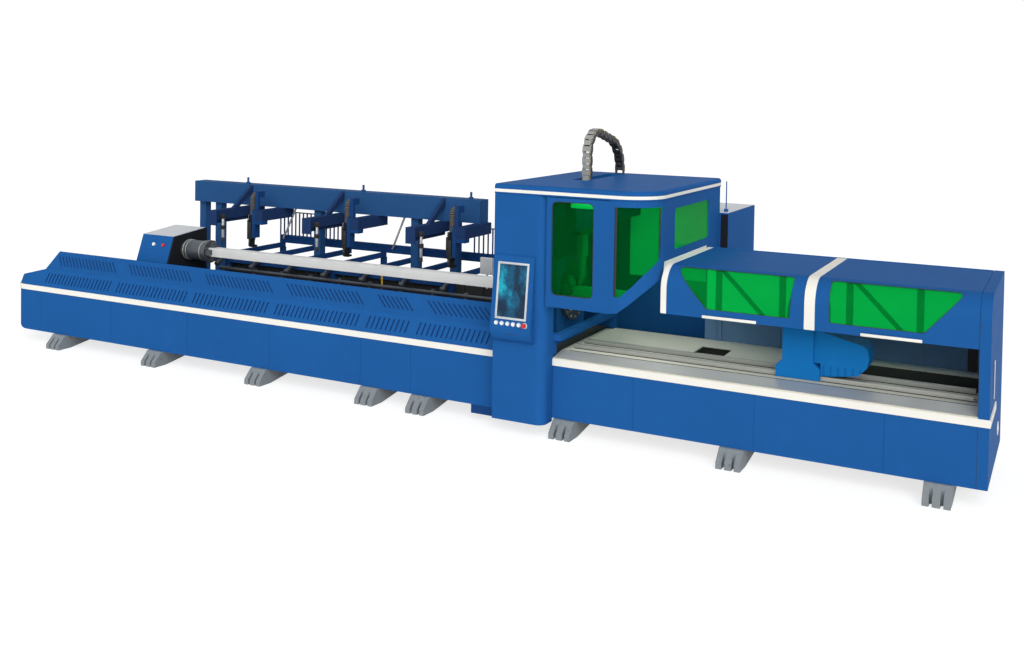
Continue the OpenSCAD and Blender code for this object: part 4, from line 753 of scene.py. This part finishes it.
class LASER_OT_feed_carriage(Operator):
    """Grey lid of the feed carriage and the chucks' bolts, bands and jaws"""

    bl_idname = "laser.feed_carriage"
    bl_label = "Feed carriage"

    def execute(self, context):
        lid = Shape()
        lid.sheet([(499, 1370.4), (1016, 1424.6), (1016, 1428), (499, 1373.8)], "x", -5142, -4663, 0.8)
        lid.done("carriage_lid", "feed_carriage", "cover", "machined_grey")
        bolts = Shape()
        for k in range(12):
            a = math.radians(15 + 30 * k)
            y, z = SPINDLE_Y + 118 * math.cos(a), SPINDLE_Z + 118 * math.sin(a)
            bolts.rod((-4260, y, z), (-4252, y, z), 8, sides=12, soft=1.5)
        bolts.done("chuck_bolts", "rear_chuck", "dark", "chuck_steel", True)
        rims = Shape()
        for x in (-4600, -4560, -4350):
            ring = [(x, SPINDLE_Y + 116 * math.cos(a), SPINDLE_Z + 116 * math.sin(a))
                    for a in (math.tau * k / 48 for k in range(48))]
            rims.hose(closed(ring), 5, 8)
        rims.done("chuck_rims", "rear_chuck", "rail", "chuck_steel", True)
        jaws, studs = Shape(), Shape()
        hub = Vector((0, SPINDLE_Y, SPINDLE_Z))
        for k in range(16):
            turn = Matrix.Rotation(math.tau * k / 16, 4, "X")
            spot = hub + turn @ Vector((0, 0, 248))
            studs.rod(spot + AXES["x"] * 429, spot + AXES["x"] * 439, 9, sides=12, soft=1.5)
            if k % 4 == 2:
                middle = hub + turn @ Vector((0, 0, 152)) + AXES["x"] * 441
                jaws.block(Matrix.Translation(middle) @ turn, (24, 70, 130), 5)
        jaws.done("front_jaws", "front_chuck", "rail", "chuck_steel", True)
        studs.done("front_bolts", "front_chuck", "rail", "chuck_steel", True)
        return {"FINISHED"}


class LASER_OT_loader(Operator):
    """Hoses, valves, cylinders, swing arms and stay rods of the loader, and a ribbed black sheet of
    painted shade on the bed's rear guard
    """

    bl_idname = "laser.loader"
    bl_label = "Loader"

    def execute(self, context):
        for k, run in enumerate(STATIONS):
            x = run + GRIPPER_X
            path = [(x, GRIPPER_Y, z) for z in range(1562, 1751, 7)]
            bend = [(x, y, z) for y, z in arc((1552, 1750), 62, 180, 90, 14)]
            path += bend[1:] + [(x, y, 1812) for y in range(1559, 1585, 7)]
            hose = Shape().hose(path, 31.5, 18, 3.5)
            hose.done(f"hose_{k + 1}", f"gripper_{k + 1}", "hose", "black_paint", True)
            arm = run + ARM_X
            rods, ends = Shape(), Shape()
            rods.rod((arm + 85, ARM_ROD_Y, 1275), (arm + 85, ARM_ROD_Y, 1560), 16, soft=2)
            ends.box((arm + 50, arm + 108), (1206, 1254), (1520, 1572), 4)
            ends.box((arm + 62, arm + 108), (1206, 1254), (1390, 1440), 4)
            ends.rod((arm + 85, ARM_ROD_Y, 1240), (arm + 85, ARM_ROD_Y, 1290), 25, 18, soft=3)
            valves, ram = Shape(), Shape()
            valves.box((x - 66, x - 32), (1462, 1518), (1330, 1500), 6)
            valves.box((x - 30, x + 28), (1420, 1451), (1262, 1470), 6)
            valves.box((x - 50, x - 32), (1470, 1560), (1165, 1215), 4)
            valves.rod((x, 1436, 1180), (x, 1436, 1264), 12, soft=2)
            ram.rod((x - 49, GRIPPER_Y, 1210), (x - 49, GRIPPER_Y, 1332), 11, soft=2)
            ram.rod((x - 49, GRIPPER_Y, 1498), (x - 49, GRIPPER_Y, 1556), 15, soft=3)
            valves.done(f"grip_valves_{k + 1}", f"gripper_{k + 1}", "dark", "black_paint", True)
            ram.done(f"grip_ram_{k + 1}", f"gripper_{k + 1}", "apron", "bright_steel", True)
            rods.done(f"arm_rod_{k + 1}", "base", "apron", "bright_steel", True)
            ends.done(f"arm_blocks_{k + 1}", "base", "dark", "black_paint", True)
        # Ribbed black sheet on the bed's rear guard: painted shade, darkening the guard as if it lay in
        # shadow.
        sheet = Shape()
        for xs, top in (((-4497, -2963), 983), ((-2897, -1363), 983), ((-1297, -64), 1043)):
            sheet.box(xs, (1326, 1329.7), (704, top), 1)
            for x in range(xs[0] + 90, xs[1] - 60, 240):
                sheet.box((x, x + 30), (1312, 1327), (712, top - 12), 3)
        sheet.done("painted_shade_sheet", "base", "dark", "black_paint")
        swing = Shape()
        for k in range(7):
            x = -4528 + 533.33 * k
            arm = [(1042, 985), (1066, 968), (1210, 1058), (1226, 1098), (1166, 1100), (1060, 1022)]
            swing.sheet(arm, "x", x + 22, x + 44, 3)
            swing.rod((x + 6, 1056, 998), (x + 60, 1056, 998), 26, soft=3)
            swing.rod((x + 14, 1190, 1060), (x + 52, 1190, 1060), 17, soft=2)
        swing.rod((-4540, 1150, 930), (-70, 1150, 930), 20)
        for x in range(-4450, -100, 420):
            swing.box((x, x + 40), (1150, 1204), (703, 960), 5)
        swing.done("swing_arms", "base", "chuck", "black_paint", True)
        stays = Shape()
        for top, low in STAY_RODS:
            stays.rod((top, 1950, 1626), (low, 2301, 1160), 13, sides=14, soft=2)
        stays.done("stay_rods", "base", "cover", "machined_grey", True)
        box = Shape().box((-970, -818), (1288, 1325.8), (1160, 1342), 6)
        box.box((-906, -884), (1312, 1325.8), (1000, 1162), 2)
        box.done("side_box", "base", "cover", "machined_grey")
        strap = Shape().box((-2241, -2219), (1263, 1269), (880, 1046), 1)
        strap.box((-2241, -2219), (1263, 1300), (1044, 1049), 1)
        strap.done("yellow_strap", "base", "yellow", "chain_plastic")
        return {"FINISHED"}


class LASER_OT_unloading_bed(Operator):
    """Bright apron, dark strips of painted shade for its rail grooves and the rear corner, and the end
    panel's fittings
    """

    bl_idname = "laser.unloading_bed"
    bl_label = "Unloading bed"

    def execute(self, context):
        apron = Shape().sheet([(3, 713.4), (196, 745.2), (196, 746.6), (3, 714.8)], "x", 532, 4133)
        apron.done("apron_sheet", "base", "apron", "table_steel")
        # Dark strips where the apron's rail grooves run: painted shade of grooves that are not cut.
        grooves = Shape()
        for y0, y1 in ((203, 216), (306, 327), (378, 396), (540, 557), (608, 617)):
            grooves.box((602, 4120), (y0, y1), (744.5, 746.5), 0.5)
        grooves.done("painted_groove_shade", "base", "dark", "table_steel")
        # Black boxes in the rear corner under the second hood: painted shade.
        corner = Shape()
        corner.box((3944, 4021), (1325, 1340), (747, 1236), 2)
        corner.box((4091, 4133), (1325, 1340), (747, 1236), 2)
        corner.done("painted_shade_corner", "base", "dark", "black_paint")
        side = Shape()
        side.box((4219, 4226), (366, 392), (776, 1084), 2.5)
        for z in (790, 1055):
            side.box((4216, 4221), (368, 390), (z, z + 16), 1)
        side.done("panel_handle", "base", "cover", "machined_grey", True)
        plate = Shape().rod((4216, 998, 374), (4222, 998, 374), 58, sides=40, soft=1.5)
        plate.rod((4221, 998, 374), (4225, 998, 374), 20, sides=24, soft=1.5)
        plate.done("panel_plate", "base", "white", "white_strip", True)
        seam = Shape()
        seam.box((4133.4, 4136.6), (-0.7, 4), (158, 634), 0.2)
        seam.box((4133.4, 4136.6), (-0.7, 4), (716, 1438), 0.2)
        seam.done("panel_seam", "base", "dark", "black_paint")
        return {"FINISHED"}


class LASER_OT_stage(Operator):
    """Pale floor, even light, two soft lamps and the camera"""

    bl_idname = "laser.stage"
    bl_label = "Studio stage"

    def execute(self, context):
        scene = context.scene
        studio = scene.laser_studio
        scene.view_settings.view_transform = "Standard"
        floor_mesh = bpy.data.meshes.new("studio_floor")
        bm = bmesh.new()
        bmesh.ops.create_grid(bm, x_segments=1, y_segments=1, size=FLOOR_REACH)
        bmesh.ops.translate(bm, verts=bm.verts, vec=(0, 0, -FLOOR_DROP))
        bm.to_mesh(floor_mesh)
        bm.free()
        paint = Paint("pale_floor", Roughness=0.9)
        paint.set(Base_Color=paint.mix(paint.noise(0.8, 2), (0.86, 0.86, 0.86), (0.88, 0.88, 0.88)))
        seen = paint.node("ShaderNodeLightPath", out=SEEN_BY[0])
        for ray in SEEN_BY[1:]:
            seen = seen.math("MAXIMUM", paint.node("ShaderNodeLightPath", out=ray))
        card = paint.node(
            "ShaderNodeBsdfPrincipled", None,
            {"Base Color": (0.4, 0.4, 0.4, 1), "Roughness": 0.9, "Emission Color": (1, 1, 1, 1),
             "Emission Strength": FLOOR_GLOW, "Specular IOR Level": 0},
        )
        plain = Sock(paint, paint.shader.outputs[0])
        both = paint.node("ShaderNodeMixShader", None, {0: seen, 1: plain, 2: card})
        paint.feed(paint.tree.nodes["Material Output"].inputs["Surface"], both)
        floor_mesh.materials.append(paint.material)
        floor = bpy.data.objects.new("studio_floor", floor_mesh)
        scene.collection.objects.link(floor)

        world = bpy.data.worlds.new("studio_sky")
        world.use_nodes = True
        scene.world = world
        nodes, links = world.node_tree.nodes, world.node_tree.links
        nodes.clear()
        path = nodes.new("ShaderNodeLightPath")
        seen = path.outputs[SEEN_BY[0]]
        for ray in SEEN_BY[1:]:
            either = nodes.new("ShaderNodeMath")
            either.operation = "MAXIMUM"
            links.new(seen, either.inputs[0])
            links.new(path.outputs[ray], either.inputs[1])
            seen = either.outputs[0]
        sky = nodes.new("ShaderNodeBackground")
        sky.inputs["Color"].default_value = (0.98, 0.99, 1, 1)
        sky.inputs["Strength"].default_value = studio.sky
        card = nodes.new("ShaderNodeBackground")
        card.inputs["Color"].default_value = (1, 1, 1, 1)
        card.inputs["Strength"].default_value = 1
        both = nodes.new("ShaderNodeMixShader")
        links.new(seen, both.inputs[0])
        links.new(sky.outputs[0], both.inputs[1])
        links.new(card.outputs[0], both.inputs[2])
        out = nodes.new("ShaderNodeOutputWorld")
        links.new(both.outputs[0], out.inputs["Surface"])

        for (name, (spread, way)), power in zip(LAMPS.items(), (studio.sun, studio.fill)):
            lamp = bpy.data.lights.new(name, "SUN")
            lamp.energy = power
            lamp.angle = math.radians(spread)
            hung = bpy.data.objects.new(name, lamp)
            hung.rotation_euler = Vector(way).to_track_quat("-Z", "Y").to_euler()
            scene.collection.objects.link(hung)

        lens = bpy.data.cameras.new("photo_camera")
        lens.sensor_width = 36
        lens.lens = studio.lens
        lens.shift_y = CAMERA_SHIFT
        lens.clip_end = 500
        camera = bpy.data.objects.new("photo_camera", lens)
        place = Matrix.Translation(CAMERA_AT)
        for angle, axis in CAMERA_TURNS:
            place = place @ Matrix.Rotation(math.radians(angle), 4, axis)
        camera.matrix_world = place
        scene.collection.objects.link(camera)
        scene.camera = camera
        return {"FINISHED"}


class LASER_PT_panel(Panel):
    bl_label = "Tube laser"
    bl_idname = "LASER_PT_panel"
    bl_space_type = "VIEW_3D"
    bl_region_type = "UI"
    bl_category = "Tube laser"

    def draw(self, context):
        for operator in OPERATORS:
            self.layout.operator(operator.bl_idname)


OPERATORS = (
    LASER_OT_finishes,
    LASER_OT_hood_trim,
    LASER_OT_operator_panel,
    LASER_OT_energy_chain,
    LASER_OT_cabin_trim,
    LASER_OT_linings,
    LASER_OT_feed_carriage,
    LASER_OT_loader,
    LASER_OT_unloading_bed,
    LASER_OT_stage,
)
GROUPS = {"laser_colours": LaserColours, "laser_sizes": LaserSizes, "laser_studio": LaserStudio}


def register():
    for kind in (*GROUPS.values(), *OPERATORS, LASER_PT_panel):
        bpy.utils.register_class(kind)
    for name, kind in GROUPS.items():
        setattr(bpy.types.Scene, name, PointerProperty(type=kind))


def unregister():
    for name in GROUPS:
        delattr(bpy.types.Scene, name)
    for kind in reversed((*GROUPS.values(), *OPERATORS, LASER_PT_panel)):
        bpy.utils.unregister_class(kind)


def main():
    register()
    bpy.ops.laser.finishes()
    bpy.ops.laser.hood_trim()
    bpy.ops.laser.operator_panel()
    bpy.ops.laser.energy_chain()
    bpy.ops.laser.cabin_trim()
    bpy.ops.laser.linings()
    bpy.ops.laser.feed_carriage()
    bpy.ops.laser.loader()
    bpy.ops.laser.unloading_bed()
    bpy.ops.laser.stage()


if __name__ == "__main__":
    main()
